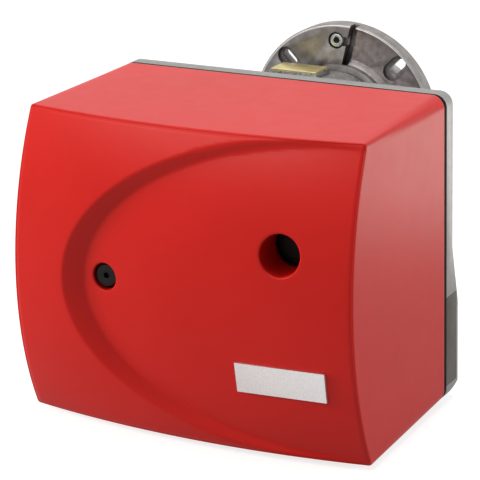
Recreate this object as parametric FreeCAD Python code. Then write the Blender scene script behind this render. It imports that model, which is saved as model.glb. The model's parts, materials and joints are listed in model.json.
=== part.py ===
"""Compact pressure-jet oil burner: red hood, cast housing, blast tube in a sliding flange.

Frame: origin on the blast tube's axis in the flange's boiler-side face. +Y runs into the
boiler, +Z is up and the hood faces -Y, so +X is on the right of someone facing the hood.
All lengths are in millimetres.
"""
import FreeCAD
import Part
import math
import os

# Mounting flange
flange_radius = 95.0
flange_thickness = 17.5
flange_rim_width = 6.5
flange_recess_depth = 5.5
flange_left_recess_depth = 1.2
hub_radius = 56.0
hub_reach = 6.5
slot_circle_radius = 80.0
slot_width = 9.0
slot_travel = 10.0
slot_seat_width = 18.0
slot_seat_depth = 4.0
slot_count = 4
clamp_screw_x = -5.0
clamp_screw_z = 78.7
clamp_pocket_radius = 8.2
clamp_pocket_depth = 8.0
clamp_step_low_x = -0.4
clamp_step_low_z = 48.7
clamp_step_slope = 0.231
clamp_step_open = 7.0
wedge_width = 16.0
wedge_thickness = 5.0

# Blast tube and mixing head
tube_radius = 45.0
tube_wall = 1.5
tube_reach = 78.0
tube_nose_length = 10.0
tube_nose_radius = 38.0
tube_start_y = -95.0
tube_screw_y = -82.0
neck_wall = 5.0
baffle_radius = 36.0
baffle_thickness = 1.5
baffle_setback = 20.0
nozzle_rod_radius = 6.0
nozzle_rod_rear = 24.0
electrode_spread = 9.0
electrode_height = 17.0
ceramic_radius = 3.5
electrode_wire_radius = 1.0
baffle_bore_radius = 10.0
baffle_slit_count = 8
baffle_slit_width = 3.2
preheater_radius = 9.0
preheater_length = 22.0
preheater_setback = 40.0
nozzle_across_flats = 16.0
nozzle_hexagon_length = 8.0
nozzle_tip_length = 7.0
cover_thickness = 4.0
guide_radius = 12.0
guide_length = 16.0
oil_block_half = 10.0
oil_block_depth = 22.0
spindle_radius = 3.0
spindle_x = -24.0
spindle_front = 20.0
spindle_rear = 46.0
regulating_knob_radius = 8.0

# Hood, measured about its own middle height
parting_distance = 155.5
hood_middle_z = -73.0
hood_height = 290.0
hood_bottom_width = 340.0
hood_top_width = 328.0
hood_height_draft = 2.5
hood_bottom_draft = 2.5
hood_top_draft = 3.0
hood_corner_depth = 169.0
hood_sag_vertical = 33.0
hood_sag_sideways = 15.5
hood_wall = 3.0
hood_rear_corner_radius = 12.0
hood_front_corner_radius = 2.0
hood_least_radius = 0.4
hood_gap = 2.4

# Recessed field on the hood's front
field_centre_x = 124.0
field_half_width = 234.0
field_half_height = 141.5
field_pivot_outset = 5.0
field_tilt_deg = 2.63
field_wall_slope = 1.3

# Hood openings and badge
screw_side_room = 98.5
screw_z = 4.5
screw_hole_radius = 12.0
screw_head_radius = 10.0
screw_head_height = 9.0
screw_shank_radius = 4.0
screw_shank_length = 32.0
screw_pocket_depth = 14.0
reset_z = 47.5
reset_hole_radius = 18.0
reset_tube_length = 34.0
badge_width = 81.5
badge_height = 28.5
badge_thickness = 2.0
badge_z = -65.0

# Cast housing
tray_wall = 4.0
tray_depth = 15.0
tray_low_depth = 28.5
tray_step_top_z = 0.0
tray_step_bottom_z = -55.0
tray_chamfer_z = -133.0
tray_chamfer_depth = 6.0
side_cover_top_z = -44.0
side_cover_bottom_z = -130.0
side_cover_thickness = 2.5
seal_width = 2.6
seal_inset = 0.3
plate_width = 48.0
plate_length = 28.0
plate_thickness = 1.5
plate_x = -30.0
plate_y = -47.5
plate_rise = 6.0

# Fan, motor and pump on one cross axis
fan_y = -243.0
fan_z = -130.0
scroll_half_width = 34.0
scroll_wall = 3.0
scroll_start_radius = 65.0
scroll_growth = 16.0
duct_radius = 50.0
duct_bottom_z = -58.0
duct_front_y = -212.0
wheel_radius = 60.0
wheel_width = 44.0
wheel_blade_count = 30
inlet_radius = 40.0
shaft_radius = 6.0
motor_radius = 47.0
motor_length = 98.0
motor_wall = 4.0
motor_flange_margin = 7.0
motor_flange_thickness = 5.0
motor_rib_count = 16
motor_rib_height = 3.0
motor_rib_thickness = 2.4
motor_rib_end_room = 8.0
bell_length = 12.0
bell_round = 8.0
bearing_radius = 16.0
bearing_width = 6.0
winding_left_room = 14.0
winding_right_room = 18.0
stator_bore_radius = 27.0
air_gap = 0.5
capacitor_radius = 14.0
coupling_radius = 10.0
coupling_reach = 26.0
coupling_grip = 14.0
coupling_end_room = 4.5
pump_shaft_radius = 4.0
pump_shaft_depth = 20.0
pump_half_size = 28.0
pump_x = 62.0
pump_length = 46.0
pump_post_circle = 52.0
pump_post_radius = 4.0
pump_plate_thickness = 4.0
pump_cover_length = 10.0
pump_corner = 8.0
pump_nose_radius = 15.5
pump_port_radius = 5.7
pump_port_depth = 11.0
pump_port_spread = 12.0
pressure_screw_radius = 3.0
pressure_screw_y = 18.0
pressure_screw_z = 14.0
oil_tube_radius = 2.5
oil_tube_bend = 7.0

# Air intake in the housing's back
intake_side_room = 30.0
intake_bottom_room = 29.0
intake_fan_room = 30.0
intake_height = 56.0
intake_length = 54.0
intake_wall = 2.0
flap_thickness = 1.5
flap_shaft_radius = 3.0
knob_radius = 13.0

# Ignition transformer on the housing's left
transformer_side_room = 16.0
transformer_duct_room = 14.0
transformer_height = 86.0
transformer_depth = 69.5
transformer_middle_z = 5.0
transformer_corner = 5.0
tower_spacing = 22.0
tower_offset_x = -1.0
tower_rise = 15.0
tower_radius = 7.0
tower_length = 8.0

# Mains socket behind the side cover
socket_height = 58.0
socket_depth = 11.0
socket_width = 20.0
socket_floor_room = 1.5
socket_pin_depth = 12.0
socket_pin_count = 7
socket_pin_radius = 2.2

# Control unit
control_duct_room = 9.0
control_width = 78.0
control_height = 103.0
control_depth = 56.0
control_base_depth = 22.0
control_gap = 6.0
button_radius = 13.0
button_stroke = 3.0

# Fits
slide_fit = 0.08
turn_fit = 0.05
seat_gap = 0.3

# Small parts
rib_spread = 30.0
rib_thickness = 4.0
rib_reach = 34.0
rib_root_low = -60.0
rib_root_high = -30.0
rib_tip_z = -36.0
post_base_radius = 11.0
post_base_height = 6.0
plate_boss_margin = 2.0
plate_boss_foot = 20.0
neck_flare = 12.0
back_screw_radius = 4.5
back_screw_height = 3.2
back_screw_socket = 4.0
cover_screw_radius = 3.4
cover_screw_height = 2.6

# Places worked out from the driving dimensions
hood_front_height = hood_height - 2 * hood_height_draft
hood_front_bottom_width = hood_bottom_width - 2 * hood_bottom_draft
hood_front_top_width = hood_top_width - 2 * hood_top_draft
parting_y = -parting_distance
tray_front_y = parting_y + hood_gap / 2
hood_back_y = parting_y - hood_gap / 2
hood_apex_depth = hood_corner_depth + hood_sag_vertical + hood_sag_sideways
hood_mean_half = (hood_front_bottom_width + hood_front_top_width) / 4
sideways_radius = (hood_mean_half ** 2 + hood_sag_sideways ** 2) / (2 * hood_sag_sideways)
vertical_radius = ((hood_front_height / 2) ** 2 + hood_sag_vertical ** 2) / (2 * hood_sag_vertical)
tray_back_y = parting_y + tray_depth
tray_floor_y = tray_back_y - tray_wall
tray_low_back_y = parting_y + tray_low_depth
tray_low_floor_y = tray_low_back_y - tray_wall
hub_front_y = -flange_thickness - hub_reach
neck_radius = tube_radius + neck_wall
neck_end_y = hub_front_y - 1.0
plate_z = neck_radius + plate_rise
field_pivot_x = hood_bottom_width / 2 + field_pivot_outset
screw_x = -(hood_bottom_width / 2 - screw_side_room)
reset_x = duct_radius + control_duct_room + control_width / 2
intake_width = hood_bottom_width / 2 - intake_side_room - scroll_half_width - intake_fan_room
intake_x = hood_bottom_width / 2 - intake_side_room - intake_width / 2
intake_z = hood_middle_z - hood_height / 2 + intake_bottom_room + intake_height / 2
transformer_width = hood_top_width / 2 - transformer_side_room - duct_radius - transformer_duct_room
transformer_x = -(hood_top_width / 2 - transformer_side_room - transformer_width / 2)
transformer_front_y = tray_floor_y - transformer_depth
tower_z = transformer_middle_z + tower_rise
past_hood = hood_bottom_width
screw_row_z = hood_middle_z + screw_z
reset_row_z = hood_middle_z + reset_z
tan_field = math.tan(math.radians(field_tilt_deg))

X_AXIS = FreeCAD.Vector(1, 0, 0)
Y_AXIS = FreeCAD.Vector(0, 1, 0)
Z_AXIS = FreeCAD.Vector(0, 0, 1)


def point(x, y, z):
    return FreeCAD.Vector(x, y, z)


def box(x0, x1, y0, y1, z0, z1):
    """Block between two opposite corners."""
    return Part.makeBox(x1 - x0, y1 - y0, z1 - z0, point(x0, y0, z0))


def rod_x(radius, x0, x1, y, z):
    return Part.makeCylinder(radius, x1 - x0, point(x0, y, z), X_AXIS)


def rod_y(radius, y0, y1, x, z):
    return Part.makeCylinder(radius, y1 - y0, point(x, y0, z), Y_AXIS)


def rod_z(radius, z0, z1, x, y):
    return Part.makeCylinder(radius, z1 - z0, point(x, y, z0), Z_AXIS)


def prism(points, along):
    """Straight-sided solid from a closed outline, pushed along a vector."""
    wire = Part.makePolygon(points + [points[0]])
    return Part.Face(wire).extrude(along)


def hexagon_y(across_flats, y0, y1, x, z):
    """Hexagonal bar along Y."""
    reach = across_flats / math.sqrt(3)
    corners = []
    for step in range(6):
        angle = math.radians(60 * step)
        corners.append(point(x + reach * math.cos(angle), y0, z + reach * math.sin(angle)))
    return prism(corners, point(0, y1 - y0, 0))


def fuse(first, *others):
    return first.fuse(list(others)).removeSplitter()


def turned(profile, origin, axis):
    """Solid of revolution from a closed outline of points."""
    wire = Part.makePolygon(profile + [profile[0]])
    return Part.Face(wire).revolve(origin, axis, 360)


def pipe(route, radius, bend):
    """Round tube along straight runs joined by tangent arcs of one bend radius."""
    edges = []
    start = route[0]
    for index in range(1, len(route) - 1):
        corner = route[index]
        towards = (route[index - 1] - corner).normalize()
        away = (route[index + 1] - corner).normalize()
        half = towards.getAngle(away) / 2
        reach = bend / math.tan(half)
        enter = corner + towards * reach
        leave = corner + away * reach
        middle_way = (towards + away).normalize()
        middle = corner + middle_way * (bend / math.sin(half) - bend)
        edges.append(Part.LineSegment(start, enter).toShape())
        edges.append(Part.Arc(enter, middle, leave).toShape())
        start = leave
    edges.append(Part.LineSegment(start, route[-1]).toShape())
    path = Part.Wire(edges)
    normal = route[1] - route[0]
    section = Part.Wire([Part.Circle(route[0], normal, radius).toShape()])
    return path.makePipeShell([section], True, False)


def hood_outline(y, half_bottom, half_top, half_height):
    """Trapezoid in a plane of constant y about the hood's middle height."""
    low = hood_middle_z - half_height
    high = hood_middle_z + half_height
    return Part.makePolygon([
        point(-half_bottom, y, low),
        point(half_bottom, y, low),
        point(half_top, y, high),
        point(-half_top, y, high),
        point(-half_bottom, y, low)])


def corner_radius(depth, inset):
    """Radius of the long edges, which dwindles from the housing to the hood's front corners."""
    share = max(0.0, depth / hood_corner_depth)
    radius = hood_rear_corner_radius + (hood_front_corner_radius - hood_rear_corner_radius) * share
    return max(hood_least_radius, radius - inset)


def hood_prism(start_depth, end_depth, inset):
    """Tapering box of the hood between two depths in front of the parting plane."""
    wires = []
    for depth in (start_depth, end_depth):
        share = depth / hood_corner_depth
        half_bottom = (hood_bottom_width + (hood_front_bottom_width - hood_bottom_width) * share) / 2
        half_top = (hood_top_width + (hood_front_top_width - hood_top_width) * share) / 2
        half_height = (hood_height + (hood_front_height - hood_height) * share) / 2
        wires.append(hood_outline(parting_y - depth, half_bottom - inset, half_top - inset,
                                  half_height - inset))
    solid = Part.makeLoft(wires, True, True)
    forward = []
    backward = []
    for edge in solid.Edges:
        first = edge.valueAt(edge.FirstParameter).y
        last = edge.valueAt(edge.LastParameter).y
        if first - last > 1.0:
            forward.append(edge)
        if last - first > 1.0:
            backward.append(edge)
    rear = corner_radius(start_depth, inset)
    front = corner_radius(end_depth, inset)
    if forward:
        return solid.makeFillet(rear, front, forward)
    return solid.makeFillet(front, rear, backward)


def front_depth(x, z):
    """Depth of the domed front before the parting plane, z measured from the hood's middle."""
    drop = vertical_radius - math.sqrt(vertical_radius ** 2 - z ** 2)
    reach = sideways_radius - drop
    return hood_apex_depth - (sideways_radius - math.sqrt(reach ** 2 - x ** 2))


def field_depth(x, z):
    """Depth of the recessed field: the dome turned about an upright line at the right."""
    return front_depth(x, z) - tan_field * (field_pivot_x - x)


def dome(inset):
    """Solid behind the domed front: an upright arc swept about a vertical axis."""
    front = parting_y - hood_apex_depth + inset
    centre_y = front + sideways_radius
    reach = hood_height * 0.6
    radius = vertical_radius - inset
    edge_y = front + radius - math.sqrt(radius ** 2 - reach ** 2)
    arc = Part.Arc(point(0, edge_y, hood_middle_z + reach), point(0, front, hood_middle_z),
                   point(0, edge_y, hood_middle_z - reach)).toShape()
    sides = Part.makePolygon([
        point(0, edge_y, hood_middle_z - reach),
        point(0, centre_y, hood_middle_z - reach),
        point(0, centre_y, hood_middle_z + reach),
        point(0, edge_y, hood_middle_z + reach)])
    profile = Part.Face(Part.Wire([arc] + sides.Edges))
    half_turn = 24.0
    profile.rotate(point(0, centre_y, 0), Z_AXIS, -half_turn)
    return profile.revolve(point(0, centre_y, 0), Z_AXIS, 2 * half_turn)


def field_wall_curve(y, margin):
    """Where the sloping wall round the recessed field meets a plane of constant y."""
    points = []
    samples = 25
    for index in range(samples):
        angle = math.pi / 2 + math.pi * index / (samples - 1)
        x = field_centre_x + field_half_width * math.cos(angle)
        z = field_half_height * math.sin(angle)
        normal = point(math.cos(angle) / field_half_width, 0, math.sin(angle) / field_half_height)
        normal.normalize()
        edge_y = parting_y - front_depth(x, z)
        inset = field_wall_slope * (y - edge_y) - margin
        points.append(point(x - normal.x * inset, y, hood_middle_z + z - normal.z * inset))
    curve = Part.BSplineCurve()
    curve.interpolate(points)
    far_x = hood_bottom_width
    first = points[0]
    last = points[-1]
    closing = Part.makePolygon([last, point(far_x, y, last.z), point(far_x, y, first.z), first])
    return Part.Wire([curve.toShape()] + closing.Edges)


def field_cutter(inset):
    """What is taken off the dome to leave the recessed field, for the outside or the inside."""
    front_y = parting_y - hood_apex_depth - 12.0
    back_y = parting_y - hood_corner_depth - 6.0
    margin = inset * 1.2
    wall = Part.makeLoft([field_wall_curve(front_y, margin), field_wall_curve(back_y, margin)],
                         True, True)
    keep = dome(inset)
    pivot = point(field_pivot_x, parting_y - front_depth(field_pivot_x, 0), 0)
    keep.rotate(pivot, Z_AXIS, -field_tilt_deg)
    return wall.cut(keep)


def make_hood():
    """One moulded shell with its screw pocket and the tube to the reset button."""
    gap_depth = hood_gap / 2
    far_depth = hood_apex_depth + 10.0
    outside = hood_prism(gap_depth, far_depth, 0).common(dome(0))
    outside = outside.cut(field_cutter(0))
    inside = hood_prism(-5.0, far_depth, hood_wall).common(dome(hood_wall))
    inside = inside.cut(field_cutter(hood_wall))
    shell = outside.cut(inside)
    screw_face_y = parting_y - field_depth(screw_x, screw_z)
    pocket_floor_y = screw_face_y + screw_pocket_depth
    cup = rod_y(screw_hole_radius + hood_wall, screw_face_y - 10, pocket_floor_y + hood_wall,
                screw_x, screw_row_z)
    reset_face_y = parting_y - field_depth(reset_x, reset_z)
    tube_end_y = reset_face_y + reset_tube_length
    tube = rod_y(reset_hole_radius + hood_wall, reset_face_y - 10, tube_end_y, reset_x, reset_row_z)
    shell = shell.fuse([cup.common(outside), tube.common(outside)])
    shell = shell.cut(rod_y(screw_hole_radius, screw_face_y - 20, pocket_floor_y,
                            screw_x, screw_row_z))
    shell = shell.cut(rod_y(screw_shank_radius + 0.5, pocket_floor_y - 5, pocket_floor_y + 10,
                            screw_x, screw_row_z))
    shell = shell.cut(rod_y(reset_hole_radius, reset_face_y - 20, tube_end_y + 5,
                            reset_x, reset_row_z))
    return shell.removeSplitter()


def make_badge():
    """Bare plate laid on the recessed field along its slope."""
    height = badge_height / 2
    left_x = reset_x - badge_width / 2
    right_x = reset_x + badge_width / 2
    left_y = parting_y - field_depth(left_x, badge_z)
    right_y = parting_y - field_depth(right_x, badge_z)
    low_y = parting_y - field_depth(reset_x, badge_z - height)
    high_y = parting_y - field_depth(reset_x, badge_z + height)
    plate = box(left_x, right_x, -badge_thickness, 0.0, -height, height)
    plate.rotate(point(reset_x, 0, 0), Z_AXIS, math.degrees(math.atan2(right_y - left_y, badge_width)))
    plate.rotate(point(reset_x, 0, 0), X_AXIS, math.degrees(math.atan2(low_y - high_y, badge_height)))
    middle_y = parting_y - field_depth(reset_x, badge_z)
    plate.translate(point(0, middle_y, hood_middle_z + badge_z))
    bed = dome(0)
    pivot = point(field_pivot_x, parting_y - front_depth(field_pivot_x, 0), 0)
    bed.rotate(pivot, Z_AXIS, -field_tilt_deg)
    deeper = plate.copy()
    deeper.translate(point(0, badge_thickness / 2, 0))
    return plate.fuse(deeper).removeSplitter().cut(bed)


def tray_side(inset):
    """Outline of the tray seen from its side, swept across the width."""
    front = tray_front_y - (20.0 if inset else 0.0)
    top = hood_middle_z + hood_height / 2 + 5
    bottom = hood_middle_z - hood_height / 2 - 5
    high = tray_back_y - inset
    low = tray_low_back_y - inset
    chamfer_z = hood_middle_z + tray_chamfer_z + inset
    end_z = hood_middle_z - hood_height / 2
    slope = (low - (parting_y + tray_chamfer_depth)) / (chamfer_z - end_z)
    end_y = parting_y + tray_chamfer_depth - inset
    profile = [
        point(-past_hood, front, top),
        point(-past_hood, high, top),
        point(-past_hood, high, hood_middle_z + tray_step_top_z),
        point(-past_hood, low, hood_middle_z + tray_step_bottom_z),
        point(-past_hood, low, chamfer_z),
        point(-past_hood, end_y, end_z),
        point(-past_hood, end_y - slope * (end_z - bottom), bottom),
        point(-past_hood, front, bottom)]
    return prism(profile, point(2 * past_hood, 0, 0))


def make_housing():
    """Cast tray with the neck for the blast tube, the air intake and a boss for the plate."""
    outer = hood_prism(-tray_low_depth - 5, 5, 0).common(tray_side(0))
    inner = hood_prism(-tray_low_depth - 5, 25, tray_wall)
    tray = outer.cut(inner.common(tray_side(tray_wall)))
    neck = rod_y(neck_radius, tray_floor_y, neck_end_y, 0, 0)
    flare = Part.makeCone(neck_radius + neck_flare, neck_radius, neck_flare,
                          point(0, tray_back_y, 0), Y_AXIS)
    half_boss = plate_width / 2 + plate_boss_margin / 2
    reach_boss = plate_length / 2 + plate_boss_margin
    boss = box(plate_x - half_boss, plate_x + half_boss, plate_y - reach_boss, plate_y + reach_boss,
               plate_boss_foot, plate_z - plate_thickness)
    pillar_base = rod_y(post_base_radius, tray_floor_y - post_base_height, tray_floor_y,
                        screw_x, screw_row_z)
    tray = tray.fuse([neck, flare, boss, pillar_base])
    for side in (-1, 1):
        left = side * rib_spread - rib_thickness / 2
        rib = prism([
            point(left, tray_back_y - 1, rib_root_low),
            point(left, tray_back_y + rib_reach, rib_tip_z),
            point(left, tray_back_y - 1, rib_root_high)], point(rib_thickness, 0, 0))
        brace = box(neck_radius - 4, neck_radius + neck_flare + rib_reach, tray_back_y - 1,
                    tray_back_y + rib_thickness, -rib_thickness / 2, rib_thickness / 2)
        if side < 0:
            brace.rotate(point(0, 0, 0), Y_AXIS, 180)
        tray = tray.fuse([rib, brace])
    for x, y, z in back_screw_places():
        tray = tray.fuse(rod_y(back_screw_radius + 2.5, y - 2, y + 1.5, x, z))
    tray = tray.cut(rod_y(tube_radius - 6, tray_floor_y - 20, neck_end_y + 10, 0, 0))
    tray = tray.cut(rod_y(tube_radius, tube_start_y, neck_end_y + 10, 0, 0))
    for screw in make_tube_screws():
        tray = tray.cut(screw)
    tray = tray.cut(box(intake_x - intake_width / 2, intake_x + intake_width / 2, -200, 0,
                        intake_z - intake_height / 2, intake_z + intake_height / 2))
    cover_high = hood_middle_z + side_cover_top_z
    cover_low = hood_middle_z + side_cover_bottom_z
    window = box(intake_x, past_hood, tray_front_y - 1, tray_low_floor_y + 0.5, cover_low, cover_high)
    skin = hood_prism(-tray_low_depth - 5, 5, side_cover_thickness)
    tray = tray.cut(window.cut(skin))
    tray = tray.cut(socket_block(side_cover_thickness - 0.5))
    return tray.removeSplitter()


def back_screw_places():
    """Bosses on the housing's back: where the fan casing, the transformer and the bracket are held."""
    high = tray_back_y
    low = tray_low_back_y
    left = -hood_top_width / 2 + 22
    return [
        (left, high, 44), (left, high, -36), (left + 62, high, 62),
        (-left, high, 44), (-left, high, -36), (-left - 62, high, 62),
        (left, low, -150), (left + 70, low, -190)]


def make_back_screws():
    """Socket screws in the housing's back."""
    solids = []
    for x, y, z in back_screw_places():
        face = y + 1.5
        head = rod_y(back_screw_radius, face, face + back_screw_height, x, z)
        solids.append(head.cut(hexagon_y(back_screw_socket, face + 1.2, face + 5, x, z)))
    return solids


def socket_block(inset):
    """Block of the mains socket, with its face so far inside the hood's side."""
    left = hood_bottom_width / 2 - tray_wall - socket_width
    middle_z = hood_middle_z + (side_cover_top_z + side_cover_bottom_z) / 2
    rear = tray_low_floor_y - socket_floor_room
    block = box(left, past_hood, rear - socket_depth, rear,
                middle_z - socket_height / 2, middle_z + socket_height / 2)
    return block.common(hood_prism(-tray_low_depth - 5, 5, inset))


def make_mains_socket():
    """Seven-pole socket that stands behind the side cover."""
    block = socket_block(side_cover_thickness + seat_gap)
    middle_z = hood_middle_z + (side_cover_top_z + side_cover_bottom_z) / 2
    middle_y = tray_low_floor_y - socket_floor_room - socket_depth / 2
    pitch = socket_height / (socket_pin_count + 0.5)
    start = hood_bottom_width / 2 - tray_wall - socket_pin_depth
    for index in range(socket_pin_count):
        z = middle_z + (index - (socket_pin_count - 1) / 2) * pitch
        block = block.cut(rod_x(socket_pin_radius, start, past_hood, middle_y, z))
    return block


def make_side_cover():
    """Dark moulded cover let into the right wall of the housing."""
    cover_high = hood_middle_z + side_cover_top_z - seat_gap
    cover_low = hood_middle_z + side_cover_bottom_z + seat_gap
    slab = box(intake_x, past_hood, tray_front_y, tray_low_floor_y + 0.5 - seat_gap, cover_low, cover_high)
    outer = hood_prism(-tray_low_depth - 5, 5, 0)
    skin = hood_prism(-tray_low_depth - 5, 5, side_cover_thickness)
    return slab.common(outer).cut(skin)


def make_hood_seal():
    """Black gasket frame on the tray's rim."""
    outer = hood_prism(-20, 20, seal_inset)
    inner = hood_prism(-20, 20, seal_inset + seal_width)
    slab = box(-past_hood, past_hood, hood_back_y + seat_gap, tray_front_y, -past_hood, past_hood)
    return outer.cut(inner).common(slab)


def make_neck_plate():
    half = plate_width / 2
    reach = plate_length / 2
    return box(plate_x - half, plate_x + half, plate_y - reach, plate_y + reach,
               plate_z - plate_thickness, plate_z)


def slot_solid(width, travel, y0, y1, radius, angle):
    """Radial round-ended slot standing through the flange."""
    half = width / 2
    inner = radius - travel / 2
    outer = radius + travel / 2
    body = box(inner, outer, y0, y1, -half, half)
    ends = [rod_y(half, y0, y1, inner, 0), rod_y(half, y0, y1, outer, 0)]
    slot = fuse(body, *ends)
    slot.rotate(point(0, 0, 0), Y_AXIS, -angle)
    return slot


def sector(start, end, radius, y0, y1):
    """Pie slice between two angles measured from +X towards +Z."""
    steps = max(2, int(abs(end - start) / 40) + 1)
    reach = radius * 1.4
    corners = [point(0, y0, 0)]
    for index in range(steps + 1):
        angle = math.radians(start + (end - start) * index / steps)
        corners.append(point(reach * math.cos(angle), y0, reach * math.sin(angle)))
    return prism(corners, point(0, y1 - y0, 0))


def clamp_step_x(z):
    """Edge of the raised step that carries the clamp screw; it leans to the right."""
    return clamp_step_low_x + (z - clamp_step_low_z) * clamp_step_slope


def make_flange():
    """Cast flange with raised rim, hub, four slots and the clamp screw's boss."""
    front = -flange_thickness
    disc = rod_y(flange_radius, front, 0, 0, 0)
    disc = disc.makeFillet(2.0, [edge for edge in disc.Edges
                                 if abs(edge.BoundBox.YMin - front) < 0.01
                                 and abs(edge.BoundBox.YMax - front) < 0.01])
    face_radius = flange_radius - flange_rim_width
    deep = rod_y(face_radius, front - 1, front + flange_recess_depth, 0, 0)
    deep = deep.common(sector(-94, 92, face_radius, front - 2, front + flange_recess_depth + 1))
    foot_z = hub_radius - 10
    step = prism([
        point(-face_radius, front - 2, foot_z),
        point(clamp_step_x(foot_z), front - 2, foot_z),
        point(clamp_step_x(flange_radius), front - 2, flange_radius),
        point(-face_radius, front - 2, flange_radius)], point(0, flange_thickness, 0))
    deep = deep.cut(step)
    shallow = rod_y(face_radius + 4, front - 1, front + flange_left_recess_depth, 0, 0)
    shallow = shallow.common(sector(110, 266, face_radius + 4, front - 2, front + 3))
    disc = disc.cut(deep).cut(shallow)
    hub = Part.makeCone(hub_radius + 5, hub_radius, 5, point(0, front + flange_recess_depth, 0),
                        FreeCAD.Vector(0, -1, 0))
    barrel = rod_y(hub_radius, hub_front_y, front + flange_recess_depth, 0, 0)
    disc = disc.fuse([hub, barrel])
    for index in range(slot_count):
        angle = 45 + 360 * index / slot_count
        disc = disc.cut(slot_solid(slot_width, slot_travel, front - 2, 1, slot_circle_radius, angle))
        seat_floor = front + slot_seat_depth
        if 0 <= angle % 360 < 90 or angle % 360 > 270:
            seat_floor = seat_floor + flange_recess_depth
        disc = disc.cut(slot_solid(slot_seat_width, slot_travel, front - 2, seat_floor,
                                   slot_circle_radius - 2, angle))
    pocket_floor = front + clamp_pocket_depth
    disc = disc.cut(rod_y(clamp_pocket_radius, front - 2, pocket_floor, clamp_screw_x, clamp_screw_z))
    open_x = clamp_step_x(clamp_screw_z) + clamp_step_open
    disc = disc.cut(box(clamp_screw_x, open_x, front - 2, pocket_floor,
                        clamp_screw_z - 5, clamp_screw_z + 4))
    disc = disc.cut(rod_y(4.3, pocket_floor - 1, 1, clamp_screw_x, clamp_screw_z))
    disc = disc.cut(rod_y(tube_radius + slide_fit, hub_front_y - 1, 1, 0, 0))
    half = wedge_width / 2 + 0.15
    disc = disc.cut(box(clamp_screw_x - half, clamp_screw_x + half, -wedge_thickness - 0.8, 1,
                        tube_radius - 10, clamp_screw_z + 7))
    return disc.removeSplitter()


def make_wedge():
    """Steel shoe behind the flange that the clamp screw draws against the tube."""
    half = wedge_width / 2
    block = box(clamp_screw_x - half, clamp_screw_x + half, -wedge_thickness - 0.5, -0.5,
                tube_radius - 10, clamp_screw_z + 6.5)
    block = block.cut(rod_y(tube_radius + slide_fit, -20, 10, 0, 0))
    return block.cut(rod_y(4.0 + turn_fit, -20, 10, clamp_screw_x, clamp_screw_z))


def socket_screw(head_radius, head_height, shank_radius, length, socket, x, z, head_y):
    """Socket head screw facing -Y with its head resting on the plane head_y."""
    head = rod_y(head_radius, head_y - head_height, head_y, x, z)
    shank = rod_y(shank_radius, head_y, head_y + length, x, z)
    recess = hexagon_y(socket, head_y - head_height, head_y - head_height / 2, x, z)
    return fuse(head, shank).cut(recess)


def make_blast_tube():
    """Steel tube from inside the neck to the flame, drawn in at its nose."""
    end = tube_reach
    nose = end - tube_nose_length
    outer = tube_radius
    inner = tube_radius - tube_wall
    profile = [
        point(inner, tube_start_y, 0),
        point(outer, tube_start_y, 0),
        point(outer, nose, 0),
        point(tube_nose_radius, end, 0),
        point(tube_nose_radius - tube_wall, end, 0),
        point(inner, nose - tube_wall / 2, 0)]
    return turned(profile, point(0, 0, 0), Y_AXIS)


def make_tube_screws():
    """Three grub screws through the neck that hold the blast tube."""
    solids = []
    for angle in (0, 120, 240):
        screw = rod_z(3.0, tube_radius, neck_radius + 1.5, 0, tube_screw_y)
        screw.rotate(point(0, 0, 0), Y_AXIS, angle)
        solids.append(screw)
    return solids


def scroll_outline(inset):
    """Spiral fan casing seen along the shaft, opening upwards into the air duct."""
    points = []
    steps = 24
    start = math.radians(118)
    sweep = math.radians(242)
    for index in range(steps + 1):
        share = index / steps
        angle = start + sweep * share
        radius = scroll_start_radius + scroll_growth * share - inset
        points.append(point(0, fan_y + radius * math.cos(angle), fan_z + radius * math.sin(angle)))
    curve = Part.BSplineCurve()
    curve.interpolate(points)
    top = duct_bottom_z + (scroll_wall + 1 if inset else 0)
    first = points[0]
    last = points[-1]
    front_y = first.y
    sides = Part.makePolygon([last, point(0, last.y, top), point(0, front_y, top), first])
    return Part.Face(Part.Wire([curve.toShape()] + sides.Edges))


def duct_body(inset, y0, y1):
    """Arched air duct round the blast tube's axis."""
    radius = duct_radius - inset
    arch = rod_y(radius, y0, y1, 0, 0)
    return fuse(arch, box(-radius, radius, y0, y1, duct_bottom_z + inset, 0))


def make_fan_housing():
    """Scroll and air duct cast in one, closed on the motor's side."""
    half = scroll_half_width
    scroll = scroll_outline(0).extrude(point(2 * half, 0, 0))
    scroll.translate(point(-half, 0, 0))
    duct = duct_body(0, duct_front_y, tray_floor_y)
    body = scroll.fuse(duct)
    hollow = scroll_outline(scroll_wall).extrude(point(2 * half - scroll_wall + 5, 0, 0))
    hollow.translate(point(-half + scroll_wall, 0, 0))
    hollow = hollow.common(box(-half, half, -400, 0, -300, 100))
    chamber = duct_body(scroll_wall, duct_front_y + scroll_wall, tray_floor_y + 5)
    body = body.cut(hollow).cut(chamber)
    mouth = rod_y(duct_radius - 14, duct_front_y - 1, duct_front_y + scroll_wall + 1, 0, 0)
    body = body.cut(mouth)
    body = body.cut(rod_x(12, -half - 1, -half + scroll_wall + 1, fan_y, fan_z))
    return body.removeSplitter()


def make_fan_cover():
    """Plate on the pump's side of the scroll with the fan's air inlet."""
    half = scroll_half_width
    plate = scroll_outline(0).extrude(point(3, 0, 0))
    plate.translate(point(half, 0, 0))
    ring = rod_x(inlet_radius + 5, half, half + 8, fan_y, fan_z)
    plate = plate.fuse(ring)
    return plate.cut(rod_x(inlet_radius, half - 5, half + 12, fan_y, fan_z))


def make_cover_screws():
    """Pan head screws round the rim of the fan's cover."""
    solids = []
    start = scroll_half_width + 3
    for angle in (140, 190, 240, 290, 335):
        share = (math.radians(angle) - math.radians(118)) / math.radians(242)
        radius = scroll_start_radius + scroll_growth * share - cover_screw_radius - 2.5
        y = fan_y + radius * math.cos(math.radians(angle))
        z = fan_z + radius * math.sin(math.radians(angle))
        solids.append(rod_x(cover_screw_radius, start, start + cover_screw_height, y, z))
    return solids


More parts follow.
